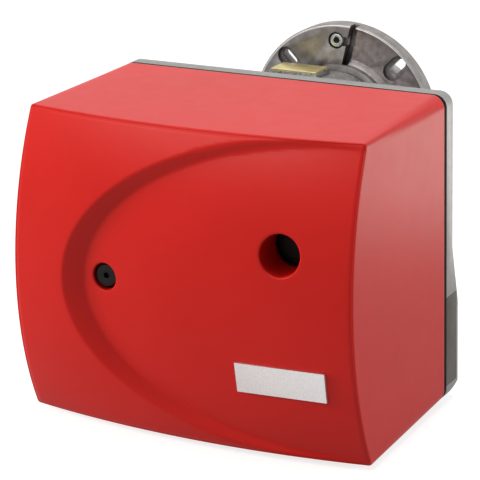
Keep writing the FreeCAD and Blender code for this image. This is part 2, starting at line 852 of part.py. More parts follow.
def make_wheel():
    """Blower wheel with forward curved blades between a back plate and a front ring."""
    left = -scroll_half_width + scroll_wall + 4
    right = left + wheel_width
    back = rod_x(wheel_radius, left, left + 1.5, fan_y, fan_z)
    ring = rod_x(wheel_radius, right - 1.5, right, fan_y, fan_z)
    ring = ring.cut(rod_x(wheel_radius - 13, right - 3, right + 1, fan_y, fan_z))
    hub = rod_x(14, left, left + 20, fan_y, fan_z)
    solids = [back, ring, hub]
    root = wheel_radius - 12
    for index in range(wheel_blade_count):
        angle = 360 * index / wheel_blade_count
        outline = [
            point(0, root, -0.6),
            point(0, root + 6, 1.6),
            point(0, wheel_radius - 1, 6.0),
            point(0, wheel_radius - 1, 7.4),
            point(0, root + 6, 3.0),
            point(0, root, 0.6)]
        blade = prism(outline, point(wheel_width - 2, 0, 0))
        blade.rotate(point(0, 0, 0), X_AXIS, angle)
        blade.translate(point(left + 1, fan_y, fan_z))
        solids.append(blade)
    wheel = solids[0].fuse(solids[1:])
    return wheel.cut(rod_x(shaft_radius, left - 5, left + 30, fan_y, fan_z))


def motor_right_x():
    return -scroll_half_width


def make_motor_case():
    """Motor shell with its mounting flange on the scroll and cooling ribs."""
    right = motor_right_x()
    left = right - motor_length
    case = rod_x(motor_radius, left, right, fan_y, fan_z)
    flange = rod_x(motor_radius + motor_flange_margin, right - motor_flange_thickness, right, fan_y, fan_z)
    half = motor_rib_thickness / 2
    hollow = rod_x(motor_radius - motor_wall, left - 1, right - motor_wall - 2, fan_y, fan_z)
    body = case.fuse(flange)
    for index in range(motor_rib_count):
        rib = box(left + motor_rib_end_room, right - motor_rib_end_room, -half, half,
                  motor_radius - 1, motor_radius + motor_rib_height)
        rib.rotate(point(0, 0, 0), X_AXIS, 360 * (index + 0.5) / motor_rib_count)
        rib.translate(point(0, fan_y, fan_z))
        body = body.fuse(rib)
    body = body.cut(hollow)
    return body.cut(rod_x(bearing_radius, left, right + 1, fan_y, fan_z))


def make_end_bell():
    left = motor_right_x() - motor_length
    end = left - bell_length
    bell = rod_x(motor_radius, end, left, fan_y, fan_z)
    rim = [edge for edge in bell.Edges
           if abs(edge.BoundBox.XMin - end) < 0.01 and abs(edge.BoundBox.XMax - end) < 0.01]
    bell = bell.makeFillet(bell_round, rim)
    bell = bell.cut(rod_x(bearing_radius, left - bearing_width, left + 1, fan_y, fan_z))
    return bell.cut(rod_x(motor_radius - 8, left - 2, left + 1, fan_y, fan_z))


def make_bearings():
    """One ball bearing in each end of the motor."""
    left = motor_right_x() - motor_length
    right = motor_right_x()
    rings = []
    for start in (left - bearing_width, right - motor_wall - 2):
        ring = rod_x(bearing_radius, start, start + bearing_width, fan_y, fan_z)
        bore = rod_x(shaft_radius + turn_fit, start - 1, start + bearing_width + 1, fan_y, fan_z)
        rings.append(ring.cut(bore))
    return rings


def make_stator():
    left = motor_right_x() - motor_length + winding_left_room
    right = motor_right_x() - winding_right_room
    ring = rod_x(motor_radius - motor_wall, left, right, fan_y, fan_z)
    return ring.cut(rod_x(stator_bore_radius, left - 1, right + 1, fan_y, fan_z))


def make_rotor():
    left = motor_right_x() - motor_length + winding_left_room
    right = motor_right_x() - winding_right_room
    core = rod_x(stator_bore_radius - air_gap, left, right, fan_y, fan_z)
    return core.cut(rod_x(shaft_radius, left - 1, right + 1, fan_y, fan_z))


def make_shaft():
    left = motor_right_x() - motor_length - 5
    return rod_x(shaft_radius, left, pump_x - coupling_reach, fan_y, fan_z)


def make_coupling():
    """Plastic coupling sleeve between the motor shaft's end and the pump shaft."""
    shaft_end = pump_x - coupling_reach
    body = rod_x(coupling_radius, shaft_end - coupling_grip, pump_x - coupling_end_room, fan_y, fan_z)
    body = body.cut(rod_x(shaft_radius, shaft_end - coupling_grip - 1, shaft_end, fan_y, fan_z))
    return body.cut(rod_x(pump_shaft_radius, shaft_end, pump_x, fan_y, fan_z))


def make_pump_shaft():
    return rod_x(pump_shaft_radius, pump_x - coupling_reach, pump_x + pump_shaft_depth, fan_y, fan_z)


def make_capacitor():
    """Run capacitor clipped along the front of the motor."""
    left = motor_right_x() - motor_length + winding_left_room
    right = motor_right_x() - winding_right_room
    radius = capacitor_radius
    centre_y = fan_y - motor_radius - motor_rib_height - radius
    can = rod_x(radius, left, right, centre_y, fan_z)
    clip = box(left + 20, left + 36, centre_y + radius - 4, fan_y - motor_radius + 4, fan_z - 9, fan_z + 9)
    case = rod_x(motor_radius + motor_rib_height + 0.2, left, right, fan_y, fan_z)
    return can.fuse(clip).cut(case)


def make_pump_posts():
    """Three posts that carry the pump clear of the fan's inlet."""
    posts = []
    for angle in (30, 150, 270):
        y = fan_y + pump_post_circle * math.cos(math.radians(angle))
        z = fan_z + pump_post_circle * math.sin(math.radians(angle))
        posts.append(rod_x(pump_post_radius, scroll_half_width + 3, pump_x - pump_plate_thickness, y, z))
    return posts


def make_pump_bracket():
    """Plate between the three posts and the pump."""
    plate = rod_x(pump_post_circle + 7, pump_x - pump_plate_thickness, pump_x, fan_y, fan_z)
    for angle in (90, 210, 330):
        y = fan_y + (pump_post_circle + 22) * math.cos(math.radians(angle))
        z = fan_z + (pump_post_circle + 22) * math.sin(math.radians(angle))
        plate = plate.cut(rod_x(34, pump_x - 5, pump_x + 1, y, z))
    return plate.cut(rod_x(16, pump_x - 5, pump_x + 1, fan_y, fan_z))


def make_pump_body():
    half = pump_half_size
    body = box(pump_x, pump_x + pump_length - pump_cover_length,
               fan_y - half, fan_y + half, fan_z - half, fan_z + half)
    edges = [edge for edge in body.Edges if abs(edge.Vertexes[0].Point.x - edge.Vertexes[1].Point.x) > 1]
    body = body.makeFillet(pump_corner, edges)
    nose = rod_x(pump_nose_radius, pump_x - pump_plate_thickness, pump_x, fan_y, fan_z)
    body = body.fuse(nose)
    body = body.cut(rod_x(pump_shaft_radius + turn_fit, pump_x - pump_plate_thickness - 1,
                          pump_x + pump_shaft_depth + 2, fan_y, fan_z))
    for y in (fan_y - pump_port_spread, fan_y + pump_port_spread):
        body = body.cut(rod_z(pump_port_radius, fan_z - half - 1, fan_z - half + pump_port_depth,
                              pump_x + 16, y))
    return body.cut(rod_x(pressure_screw_radius + turn_fit, pump_x + 12, pump_x + pump_length,
                          fan_y + pressure_screw_y, fan_z + pressure_screw_z))


def make_pump_cover():
    half = pump_half_size - 2
    start = pump_x + pump_length - pump_cover_length
    body = box(start, start + pump_cover_length, fan_y - half, fan_y + half, fan_z - half, fan_z + half)
    edges = [edge for edge in body.Edges if abs(edge.Vertexes[0].Point.x - edge.Vertexes[1].Point.x) > 1]
    body = body.makeFillet(pump_corner - 1, edges)
    return body.cut(rod_x(pressure_screw_radius + turn_fit, start - 1, start + pump_cover_length + 1,
                          fan_y + pressure_screw_y, fan_z + pressure_screw_z))


def make_pressure_screw():
    start = pump_x + 14
    end = pump_x + pump_length
    y = fan_y + pressure_screw_y
    z = fan_z + pressure_screw_z
    screw = rod_x(pressure_screw_radius, start, end + 2, y, z)
    head = rod_x(pressure_screw_radius + 2, end + seat_gap, end + 5, y, z)
    slot = box(end + 3, end + 6, y - 8, y + 8, z - 0.7, z + 0.7)
    return fuse(screw, head).cut(slot)


def make_solenoid():
    """Shut-off valve coil on the pump's front."""
    start = fan_y - pump_half_size
    stem = rod_y(6, start - 34, start, pump_x + 18, fan_z + 6)
    coil = box(pump_x + 2, pump_x + 34, start - 31, start - 3, fan_z - 10, fan_z + 22)
    edges = [edge for edge in coil.Edges if abs(edge.Vertexes[0].Point.y - edge.Vertexes[1].Point.y) > 1]
    coil = coil.makeFillet(4, edges)
    return stem.fuse(coil)


def oil_route():
    """Copper pipe from the pump's top to the block behind the nozzle rod."""
    return [
        point(pump_x + 10, fan_y - 12, fan_z + pump_half_size),
        point(pump_x + 10, fan_y - 12, fan_z + pump_half_size + 16),
        point(44, fan_y - 12, fan_z + pump_half_size + 20),
        point(44, fan_y - 8, -20),
        point(38, duct_front_y - 14, 0),
        point(10, duct_front_y - 14, 0)]


def make_oil_tube():
    return pipe(oil_route(), oil_tube_radius, oil_tube_bend)


def make_nozzle_cover():
    """Round cover on the duct with the guide for the nozzle rod."""
    half = oil_block_half
    plate = rod_y(duct_radius - 4, duct_front_y - cover_thickness, duct_front_y, 0, 0)
    guide = rod_y(guide_radius, duct_front_y, duct_front_y + guide_length, 0, 0)
    block = box(-half, half, duct_front_y - oil_block_depth, duct_front_y - cover_thickness, -half, half)
    body = fuse(plate, guide, block)
    body = body.cut(rod_y(nozzle_rod_radius + turn_fit, duct_front_y - oil_block_depth - 1,
                          duct_front_y + guide_length + 1, 0, 0))
    body = body.cut(rod_y(spindle_radius + turn_fit, duct_front_y - cover_thickness - 1,
                          duct_front_y + 5, spindle_x, 0))
    for side in (-1, 1):
        body = body.cut(rod_y(4, duct_front_y - 10, duct_front_y + 5,
                              side * electrode_spread, electrode_height))
    return body


def make_nozzle_rod():
    """Rod that feeds the nozzle, with the yoke that the regulating spindle moves."""
    rear = duct_front_y - oil_block_depth - nozzle_rod_rear
    front = tube_reach - baffle_setback - preheater_setback
    rod = rod_y(nozzle_rod_radius, rear, front, 0, 0)
    yoke = box(-30, 0, duct_front_y + 22, duct_front_y + 27, -6, 6)
    head = hexagon_y(14, rear, rear + 8, 0, 0)
    body = fuse(rod, yoke, head)
    return body.cut(rod_y(spindle_radius + slide_fit, duct_front_y + 10, duct_front_y + 40, spindle_x, 0))


def make_regulating_knob():
    """Spindle and knurled knob that set how far the mixing head stands forward."""
    front = duct_front_y - spindle_front
    spindle = rod_y(spindle_radius, front, duct_front_y + spindle_rear, spindle_x, 0)
    knob = rod_y(regulating_knob_radius, front, duct_front_y - 2 * cover_thickness, spindle_x, 0)
    return fuse(spindle, knob)


def make_preheater():
    front = tube_reach - baffle_setback - preheater_setback
    return rod_y(preheater_radius, front, front + preheater_length, 0, 0)


def make_nozzle():
    """Brass atomising nozzle with its hexagon."""
    start = tube_reach - baffle_setback - preheater_setback + preheater_length
    end = start + nozzle_hexagon_length
    body = hexagon_y(nozzle_across_flats, start, end, 0, 0)
    tip = Part.makeCone(6.5, 4.0, nozzle_tip_length, point(0, end, 0), Y_AXIS)
    return body.fuse(tip)


def make_baffle():
    """Slotted baffle disc that swirls the air round the flame, on three stays."""
    rear = tube_reach - baffle_setback
    disc = rod_y(baffle_radius, rear, rear + baffle_thickness, 0, 0)
    disc = disc.cut(rod_y(baffle_bore_radius, rear - 1, rear + 5, 0, 0))
    half = baffle_slit_width / 2
    for index in range(baffle_slit_count):
        slit = box(baffle_bore_radius + 4, baffle_radius - 4, rear - 1, rear + 5, -half, half)
        slit.rotate(point(0, 0, 0), Y_AXIS, 360 * index / baffle_slit_count + 12)
        disc = disc.cut(slit)
    for side in (-1, 1):
        disc = disc.cut(rod_y(4.5, rear - 1, rear + 5, side * 4.7, 11.5))
    stay_start = rear - 34
    ring = rod_y(11, stay_start, stay_start + 8, 0, 0)
    ring = ring.cut(rod_y(preheater_radius, stay_start - 1, stay_start + 9, 0, 0))
    parts = [disc, ring]
    for angle in (150, 270, 30):
        stay = box(9.6, 12, stay_start, rear + 0.5, -3, 3)
        foot = box(9.6, 16, rear - 1.5, rear, -3, 3)
        stay = stay.fuse(foot)
        stay.rotate(point(0, 0, 0), Y_AXIS, -angle - 60)
        parts.append(stay)
    return parts[0].fuse(parts[1:]).removeSplitter()


def make_electrodes():
    """Two ceramic rods with their wires, bent towards each other before the nozzle."""
    solids = []
    rear = tube_reach - baffle_setback
    for side in (-1, 1):
        x = side * electrode_spread
        ceramic = rod_y(ceramic_radius, rear - 52, rear - 8, x, electrode_height)
        radius = electrode_wire_radius
        wire = rod_y(radius, duct_front_y - 14, rear - 5, x, electrode_height)
        start = point(x, rear - 5, electrode_height)
        ball = Part.makeSphere(radius, start)
        tip_end = point(side * 2.0, rear + 4, 7)
        tip = Part.makeCylinder(radius, (tip_end - start).Length, start, tip_end - start)
        solids.append(fuse(ceramic, wire, ball, tip))
    return solids


def make_electrode_clamp():
    """Clamp that carries the two ceramics on the nozzle rod's preheater."""
    start = tube_reach - baffle_setback - 38
    bar = box(-electrode_spread - 6, electrode_spread + 6, start - 8, start - 2.5, -9, electrode_height + 5)
    bar = bar.cut(rod_y(nozzle_rod_radius, start - 20, start + 10, 0, 0))
    for side in (-1, 1):
        bar = bar.cut(rod_y(ceramic_radius, start - 20, start + 10,
                            side * electrode_spread, electrode_height))
    return bar


def make_boots():
    """Rubber boots on the cover that take the ignition leads."""
    solids = []
    for side in (-1, 1):
        x = side * electrode_spread
        collar = rod_y(4, duct_front_y - 4, duct_front_y + 2, x, electrode_height)
        body = Part.makeCone(4.0, 6.0, 16, point(x, duct_front_y - 20, electrode_height), Y_AXIS)
        boot = collar.fuse(body)
        bore = rod_y(electrode_wire_radius + slide_fit, duct_front_y - 16, duct_front_y + 5,
                     x, electrode_height)
        solids.append(boot.cut(bore))
    return solids


def tower_places():
    middle = transformer_x + tower_offset_x
    return (middle - tower_spacing / 2, middle + tower_spacing / 2)


def make_transformer():
    """Potted ignition transformer with two high-tension towers."""
    half = transformer_width / 2
    body = box(transformer_x - half, transformer_x + half, transformer_front_y, tray_floor_y,
               transformer_middle_z - transformer_height / 2, transformer_middle_z + transformer_height / 2)
    edges = [edge for edge in body.Edges if abs(edge.Vertexes[0].Point.y - edge.Vertexes[1].Point.y) > 1]
    body = body.makeFillet(transformer_corner, edges)
    for x in tower_places():
        body = body.fuse(rod_y(tower_radius, transformer_front_y - tower_length, transformer_front_y,
                               x, tower_z))
    return body


def make_leads():
    """Two high-tension leads from the transformer's towers to the boots."""
    solids = []
    tower_y = transformer_front_y - tower_length
    for side, tower_x in zip((-1, 1), tower_places()):
        x = side * electrode_spread
        rise = 27 + 13 * side
        route = [
            point(tower_x, tower_y, tower_z),
            point(tower_x, tower_y - 20, tower_z),
            point((tower_x + x) / 2, tower_y - 40 - 4 * side, rise),
            point(x, duct_front_y - 46 - 6 * side, electrode_height),
            point(x, duct_front_y - 20, electrode_height)]
        solids.append(pipe(route, 3.0, 8.0))
    return solids


def control_rear_y():
    reset_face = parting_y - field_depth(reset_x, reset_z)
    return reset_face + reset_tube_length + control_gap + control_depth


def make_control_unit():
    """Black control box with a raised ring round the reset button."""
    rear = control_rear_y()
    front = rear - control_depth
    half = control_width / 2
    low = reset_row_z - control_height / 2
    high = reset_row_z + control_height / 2
    body = box(reset_x - half, reset_x + half, front, rear, low, high)
    edges = [edge for edge in body.Edges if abs(edge.Vertexes[0].Point.y - edge.Vertexes[1].Point.y) > 1]
    body = body.makeFillet(5, edges)
    ring = rod_y(button_radius + 3, front - 4, front, reset_x, reset_row_z)
    body = body.fuse(ring)
    return body.cut(rod_y(button_radius + seat_gap, front - 5, front + 8, reset_x, reset_row_z))


def make_reset_button():
    rear = control_rear_y()
    front = rear - control_depth
    button = rod_y(button_radius, front - 7.5, front + 8 - button_stroke - 1, reset_x, reset_row_z)
    rim = [edge for edge in button.Edges
           if abs(edge.BoundBox.YMin - front + 7.5) < 0.01 and abs(edge.BoundBox.YMax - front + 7.5) < 0.01]
    return button.makeFillet(2.0, rim)


def make_control_base():
    rear = control_rear_y()
    half = control_width / 2 + 2
    low = reset_row_z - control_height / 2 - 2
    high = reset_row_z + control_height / 2 + 2
    body = box(reset_x - half, reset_x + half, rear, rear + control_base_depth, low, high)
    edges = [edge for edge in body.Edges if abs(edge.Vertexes[0].Point.y - edge.Vertexes[1].Point.y) > 1]
    return body.makeFillet(4, edges)


def make_control_bracket():
    """Folded sheet bracket that carries the control unit's base off the housing."""
    front = control_rear_y() + control_base_depth
    half = control_width / 2
    low = reset_row_z - control_height / 2 + 10
    high = reset_row_z + control_height / 2 - 5
    plate = box(reset_x - half, reset_x + half, front, front + 2, low, high)
    parts = [plate]
    for side in (-1, 1):
        edge_x = reset_x + side * half
        inner_x = edge_x - side * 2
        foot_x = edge_x - side * 14
        parts.append(box(min(edge_x, inner_x), max(edge_x, inner_x), front, tray_floor_y, low, high))
        parts.append(box(min(edge_x, foot_x), max(edge_x, foot_x), tray_floor_y - 2, tray_floor_y,
                         max(low, hood_middle_z + tray_step_top_z + 2), high))
    return fuse(*parts)


def make_intake_duct():
    """Short rectangular duct from the housing's air intake, with bearings for the flap."""
    half_w = intake_width / 2
    half_h = intake_height / 2
    y1 = tray_low_floor_y
    y0 = y1 - intake_length
    outer = box(intake_x - half_w - intake_wall, intake_x + half_w + intake_wall, y0, y1,
                intake_z - half_h - intake_wall, intake_z + half_h + intake_wall)
    inner = box(intake_x - half_w, intake_x + half_w, y0 - 1, y1 + 1, intake_z - half_h, intake_z + half_h)
    middle_y = (y0 + y1) / 2
    bore = rod_x(flap_shaft_radius + turn_fit, intake_x - 60, intake_x + 60, middle_y, intake_z)
    return outer.cut(inner).cut(bore)


def make_flap():
    """Air damper flap on its cross shaft."""
    half_w = intake_width / 2 - 0.8
    half_h = intake_height / 2 - 2.0
    middle_y = tray_low_floor_y - intake_length / 2
    plate = box(intake_x - half_w, intake_x + half_w, middle_y - flap_thickness / 2,
                middle_y + flap_thickness / 2, intake_z - half_h, intake_z + half_h)
    outside = intake_x + intake_width / 2 + intake_wall
    shaft = rod_x(flap_shaft_radius, intake_x - intake_width / 2 - intake_wall - 2, outside + 8,
                  middle_y, intake_z)
    return fuse(plate, shaft)


def make_damper_knob():
    middle_y = tray_low_floor_y - intake_length / 2
    outside = intake_x + intake_width / 2 + intake_wall
    knob = rod_x(knob_radius, outside + 1.5, outside + 9.5, middle_y, intake_z)
    grip = box(outside + 9.5, outside + 15, middle_y - 2.5, middle_y + 2.5,
               intake_z - knob_radius + 2, intake_z + knob_radius - 2)
    return fuse(knob, grip).cut(rod_x(flap_shaft_radius, outside, outside + 8, middle_y, intake_z))


def make_damper_scale():
    middle_y = tray_low_floor_y - intake_length / 2
    outside = intake_x + intake_width / 2 + intake_wall
    disc = rod_x(knob_radius + 7, outside, outside + 1.2, middle_y, intake_z)
    return disc.cut(rod_x(flap_shaft_radius + 1, outside - 1, outside + 3, middle_y, intake_z))


def make_hood_screw():
    floor_y = parting_y - field_depth(screw_x, screw_z) + screw_pocket_depth
    return socket_screw(screw_head_radius, screw_head_height, screw_shank_radius, screw_shank_length,
                        5.0, screw_x, screw_row_z, floor_y - seat_gap)


def make_hood_post():
    """Long hexagonal post from the housing to the hood's screw."""
    floor_y = parting_y - field_depth(screw_x, screw_z) + screw_pocket_depth
    front = floor_y + hood_wall + seat_gap
    post = hexagon_y(13, front, tray_floor_y - 6, screw_x, screw_row_z)
    bore = rod_y(screw_shank_radius + turn_fit, front - 1, front + screw_shank_length, screw_x, screw_row_z)
    return post.cut(bore)


def make_clamp_screw():
    floor_y = -flange_thickness + clamp_pocket_depth
    return socket_screw(6.5, 7.0, 4.0, -floor_y - 1, 6.0, clamp_screw_x, clamp_screw_z, floor_y - 0.1)


def make_photocell():
    """Light-sensitive cell plugged into a holder on the duct's front."""
    x = 37.0
    z = -48.0
    holder = rod_y(9, duct_front_y - 6, duct_front_y, x, z)
    body = rod_y(7, duct_front_y - 30, duct_front_y - 6, x, z)
    return fuse(holder, body)


NODES = {
    "mount_flange": make_flange,
    "clamp_wedge": make_wedge,
    "clamp_screw": make_clamp_screw,
    "housing": make_housing,
    "housing_screws": make_back_screws,
    "mains_socket": make_mains_socket,
    "neck_plate": make_neck_plate,
    "side_cover": make_side_cover,
    "hood_seal": make_hood_seal,
    "hood": make_hood,
    "hood_badge": make_badge,
    "hood_screw": make_hood_screw,
    "hood_post": make_hood_post,
    "blast_tube": make_blast_tube,
    "tube_screws": make_tube_screws,
    "fan_housing": make_fan_housing,
    "fan_cover": make_fan_cover,
    "cover_screws": make_cover_screws,
    "fan_wheel": make_wheel,
    "motor_case": make_motor_case,
    "motor_end_bell": make_end_bell,
    "motor_bearings": make_bearings,
    "motor_stator": make_stator,
    "motor_rotor": make_rotor,
    "motor_shaft": make_shaft,
    "motor_capacitor": make_capacitor,
    "pump_coupling": make_coupling,
    "pump_shaft": make_pump_shaft,
    "pump_posts": make_pump_posts,
    "pump_bracket": make_pump_bracket,
    "pump_body": make_pump_body,
    "pump_cover": make_pump_cover,
    "pressure_screw": make_pressure_screw,
    "solenoid_valve": make_solenoid,
    "oil_tube": make_oil_tube,
    "nozzle_cover": make_nozzle_cover,
    "nozzle_rod": make_nozzle_rod,
    "regulating_knob": make_regulating_knob,
    "oil_preheater": make_preheater,
    "nozzle": make_nozzle,
    "baffle_plate": make_baffle,
    "electrodes": make_electrodes,
    "electrode_clamp": make_electrode_clamp,
    "electrode_boots": make_boots,
    "ignition_transformer": make_transformer,
    "ignition_leads": make_leads,
    "control_unit": make_control_unit,
    "reset_button": make_reset_button,
    "control_base": make_control_base,
    "control_bracket": make_control_bracket,
    "photocell": make_photocell,
    "intake_duct": make_intake_duct,
    "damper_flap": make_flap,
    "damper_knob": make_damper_knob,
    "damper_scale": make_damper_scale,
}


def main():
    os.makedirs("parts", exist_ok=True)
    for name, maker in NODES.items():
        shape = maker()
        if isinstance(shape, list):
            shape = Part.makeCompound(shape)
        shape.exportStep("parts/" + name + ".step")


main()
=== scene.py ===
"""Looks of the oil burner: red moulded hood, cast housing and flange, inner works."""
import json
import math

import bmesh
import bpy
import mathutils
import numpy as np
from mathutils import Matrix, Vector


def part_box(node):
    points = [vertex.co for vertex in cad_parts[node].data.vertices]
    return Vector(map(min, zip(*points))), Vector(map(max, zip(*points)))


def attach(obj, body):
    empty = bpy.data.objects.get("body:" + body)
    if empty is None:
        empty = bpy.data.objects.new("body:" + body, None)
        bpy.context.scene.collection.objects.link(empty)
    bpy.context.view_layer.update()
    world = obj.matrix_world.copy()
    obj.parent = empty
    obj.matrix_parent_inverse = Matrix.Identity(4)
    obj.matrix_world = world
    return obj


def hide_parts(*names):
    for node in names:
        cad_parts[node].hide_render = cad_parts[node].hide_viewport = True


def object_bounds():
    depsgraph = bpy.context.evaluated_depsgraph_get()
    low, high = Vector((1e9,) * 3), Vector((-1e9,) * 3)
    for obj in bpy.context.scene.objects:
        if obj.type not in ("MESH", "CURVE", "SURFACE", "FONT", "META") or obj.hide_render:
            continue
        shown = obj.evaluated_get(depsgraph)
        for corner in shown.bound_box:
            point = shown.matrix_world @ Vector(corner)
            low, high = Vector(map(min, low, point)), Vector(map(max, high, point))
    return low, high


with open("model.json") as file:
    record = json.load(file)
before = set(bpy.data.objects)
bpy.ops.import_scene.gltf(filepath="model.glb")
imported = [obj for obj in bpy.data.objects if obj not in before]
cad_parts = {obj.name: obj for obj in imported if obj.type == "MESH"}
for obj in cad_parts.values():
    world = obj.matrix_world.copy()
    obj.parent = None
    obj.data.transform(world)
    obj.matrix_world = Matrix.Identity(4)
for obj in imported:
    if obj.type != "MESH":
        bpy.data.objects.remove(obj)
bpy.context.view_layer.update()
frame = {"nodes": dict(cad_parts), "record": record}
scene = bpy.context.scene
MM = 0.001

# Hood, in millimetres about its own middle height, as in the CAD part
HOOD_LOW, HOOD_HIGH = (np.array(corner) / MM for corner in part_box("hood"))
RIM_Y = HOOD_HIGH[1]
PARTING_Y = RIM_Y + 1.2
MIDDLE_Z = (HOOD_LOW[2] + HOOD_HIGH[2]) / 2
HALF_HEIGHT = (145.0, 142.5)
HALF_BOTTOM = (170.0, 167.5)
HALF_TOP = (164.0, 161.0)
CORNER_DEPTH = 169.0
SAG_UPRIGHT = 33.0
SAG_SIDEWAYS = 15.5
MEAN_HALF = 164.25
APEX_DEPTH = CORNER_DEPTH + SAG_UPRIGHT + SAG_SIDEWAYS
SIDEWAYS_RADIUS = (MEAN_HALF ** 2 + SAG_SIDEWAYS ** 2) / (2 * SAG_SIDEWAYS)
UPRIGHT_RADIUS = (HALF_HEIGHT[1] ** 2 + SAG_UPRIGHT ** 2) / (2 * SAG_UPRIGHT)
HOOD_WALL = 3.0
CORNER_ROUND = (12.0, 2.0)
EDGE_ROUND = 1.2

# Recessed field: an ellipse open to the right, deepest at the left
FIELD_CENTRE_X = 124.0
FIELD_HALF_WIDTH = 234.0
FIELD_HALF_HEIGHT = 141.5
FIELD_PIVOT_X = 190.0
FIELD_TILT = math.tan(math.radians(2.63))
FIELD_SLOPE = 1.3
RAMP_SOFT = 0.28
FLOOR_SOFT = 0.35
CAD_PIVOT_X = 175.0
FIELD_SET_BACK = FIELD_TILT * (FIELD_PIVOT_X - CAD_PIVOT_X)

# Round holes: centre x, centre z and radius, then their depths and the rounding of their lips
SCREW_HOLE = (-71.5, 4.5, 12.0)
RESET_HOLE = (98.0, 47.5, 18.0)
RESET_TUBE = 34.0 - FIELD_SET_BACK
SCREW_POCKET = 14.0 - FIELD_SET_BACK
POCKET_RINGS = (9.0, 4.6)
LIP = 1.8

# Grid over the front: step, which keeps the hood under 200,000 triangles, half sizes, and margin
# of the windows that the holes lie in
GRID_STEP = 1.5
GRID_HALF = (142.0, 124.0)
WINDOW_MARGIN = 9.0

# Groove along the front's edge, width and depth, and the rear edge's distance from the seal
GROOVE = (1.1, 0.45)
RIM_BACK = (0.9, 3.2)
RIM_STEP = (150.0, 163.0)

# Seal: points along its long and short sides, its gap to the hood and its section
SEAL_POINTS = (240, 200)
SEAL_GAP = 0.25
SEAL_DEPTH = 1.2
SEAL_INSET = 0.15
SEAL_INNER = 3.6
SEAL_SOFT = 0.35

# Flange about the blast tube's axis: its front, its two recessed floors, lip, step and slit
FLANGE_FRONT = -17.5
RECESS_FLOOR = -12.0
SHALLOW_FLOOR = -16.3
LIP_INNER = 93.2
RING_INNER = 86.0
RING_START = math.radians(-93.5)
STEP_LOW = (-0.4, 48.7)
STEP_SLOPE = 0.231
SLIT_WIDTH = 6.5
SLIT_FLOOR = -7.0
SLIT_ENDS = (50.0, 99.0)
PAST_FRONT = 2.0
STEP_CLEAR = 0.01

# Merging of a CAD mesh's points, and the angle that makes an edge
MERGE_FINE = 1e-6
MERGE_COARSE = 2e-5
FLAT_ANGLE = math.radians(0.6)
EDGE_ANGLE = math.radians(32)

# Where finishes, painted shade and painted highlight change, in metres
FACE_Y = -0.0152
EDGE_FROM = 0.0931
LIP_SHINE = 0.0007
SOFT_STEP = 0.0005
CLAMP_AT = (-0.005, 0.0787)
SOCKET_REACH = 0.0029
SOCKET_SOFT = 0.0004
NECK_FROM = -0.110
NECK_CHANGE = 0.030

# Lamps: place, point aimed at, size, power and whether gloss mirrors them
LAMPS = {
    "key": ((-2.70, -1.52, 0.75), (0, -0.3, 0), (1.0, 1.0), 65.0, False),
    "sheen": ((-1.35, -2.5, 1.85), (0, -0.3, 0.05), (1.7, 0.7), 34.0, True),
    "top": ((0.2, -0.1, 1.8), (0, -0.2, 0), (0.9, 0.9), 18.5, True),
    "side": ((2.2, 0.3, 0.45), (0, -0.2, -0.05), (1.2, 1.2), 16.5, True),
    "low_back": ((0.95, 0.9, -0.2), (0.95, 0.9, 1.0), (1.2, 1.2), 12.0, True),
}
LAMP_COLOUR = (1.0, 0.965, 0.91)
SKY_STRENGTH = 0.20

# Floor: half its side, its drop below the object, its colour and its glow to each kind of ray
FLOOR_HALF = 6.0
FLOOR_DROP = 0.004
FLOOR_COLOUR = (0.42, 0.42, 0.42)
FLOOR_GLOW = {"Is Camera Ray": 0.78, "Is Glossy Ray": 0.36, "Is Transmission Ray": 0.78}

# Camera: azimuth, elevation and roll in degrees, place in metres
CAMERA_TURN = (27.033, 17.800, -0.609)
CAMERA_EYE = (0.8026, -1.8146, 0.5112)
CAMERA_LENS = 154.585
CAMERA_SHIFT = (0.00446, -0.00729)


def front_depth(x, z):
    """Torus front: an upright arc of UPRIGHT_RADIUS swept sideways about a vertical axis."""
    drop = UPRIGHT_RADIUS - np.sqrt(UPRIGHT_RADIUS ** 2 - z ** 2)
    reach = SIDEWAYS_RADIUS - drop
    return APEX_DEPTH - (SIDEWAYS_RADIUS - np.sqrt(reach ** 2 - x ** 2))


def soft_max(a, b, k):
    """Larger of two values with a rounded change-over about k wide."""
    return (a + b + np.sqrt((a - b) ** 2 + k * k)) / 2


def soft_min(a, b, k):
    """Smaller of two values with a rounded change-over about k wide."""
    return (a + b - np.sqrt((a - b) ** 2 + k * k)) / 2


def hood_y(x, z):
    """Front surface: the torus, set back by the smaller of the field's tilt and its wall's ramp."""
    u = (x - FIELD_CENTRE_X) / FIELD_HALF_WIDTH
    w = z / FIELD_HALF_HEIGHT
    s = np.sqrt(u * u + w * w) + 1e-9
    slope = np.sqrt((u / FIELD_HALF_WIDTH) ** 2 + (w / FIELD_HALF_HEIGHT) ** 2) / s
    inside = (1 - s) / np.maximum(slope, 1e-9)
    ramp = soft_max(inside / FIELD_SLOPE, 0.0, RAMP_SOFT)
    field = FIELD_TILT * (FIELD_PIVOT_X - x)
    return PARTING_Y - front_depth(x, z) + soft_min(ramp, field, FLOOR_SOFT)


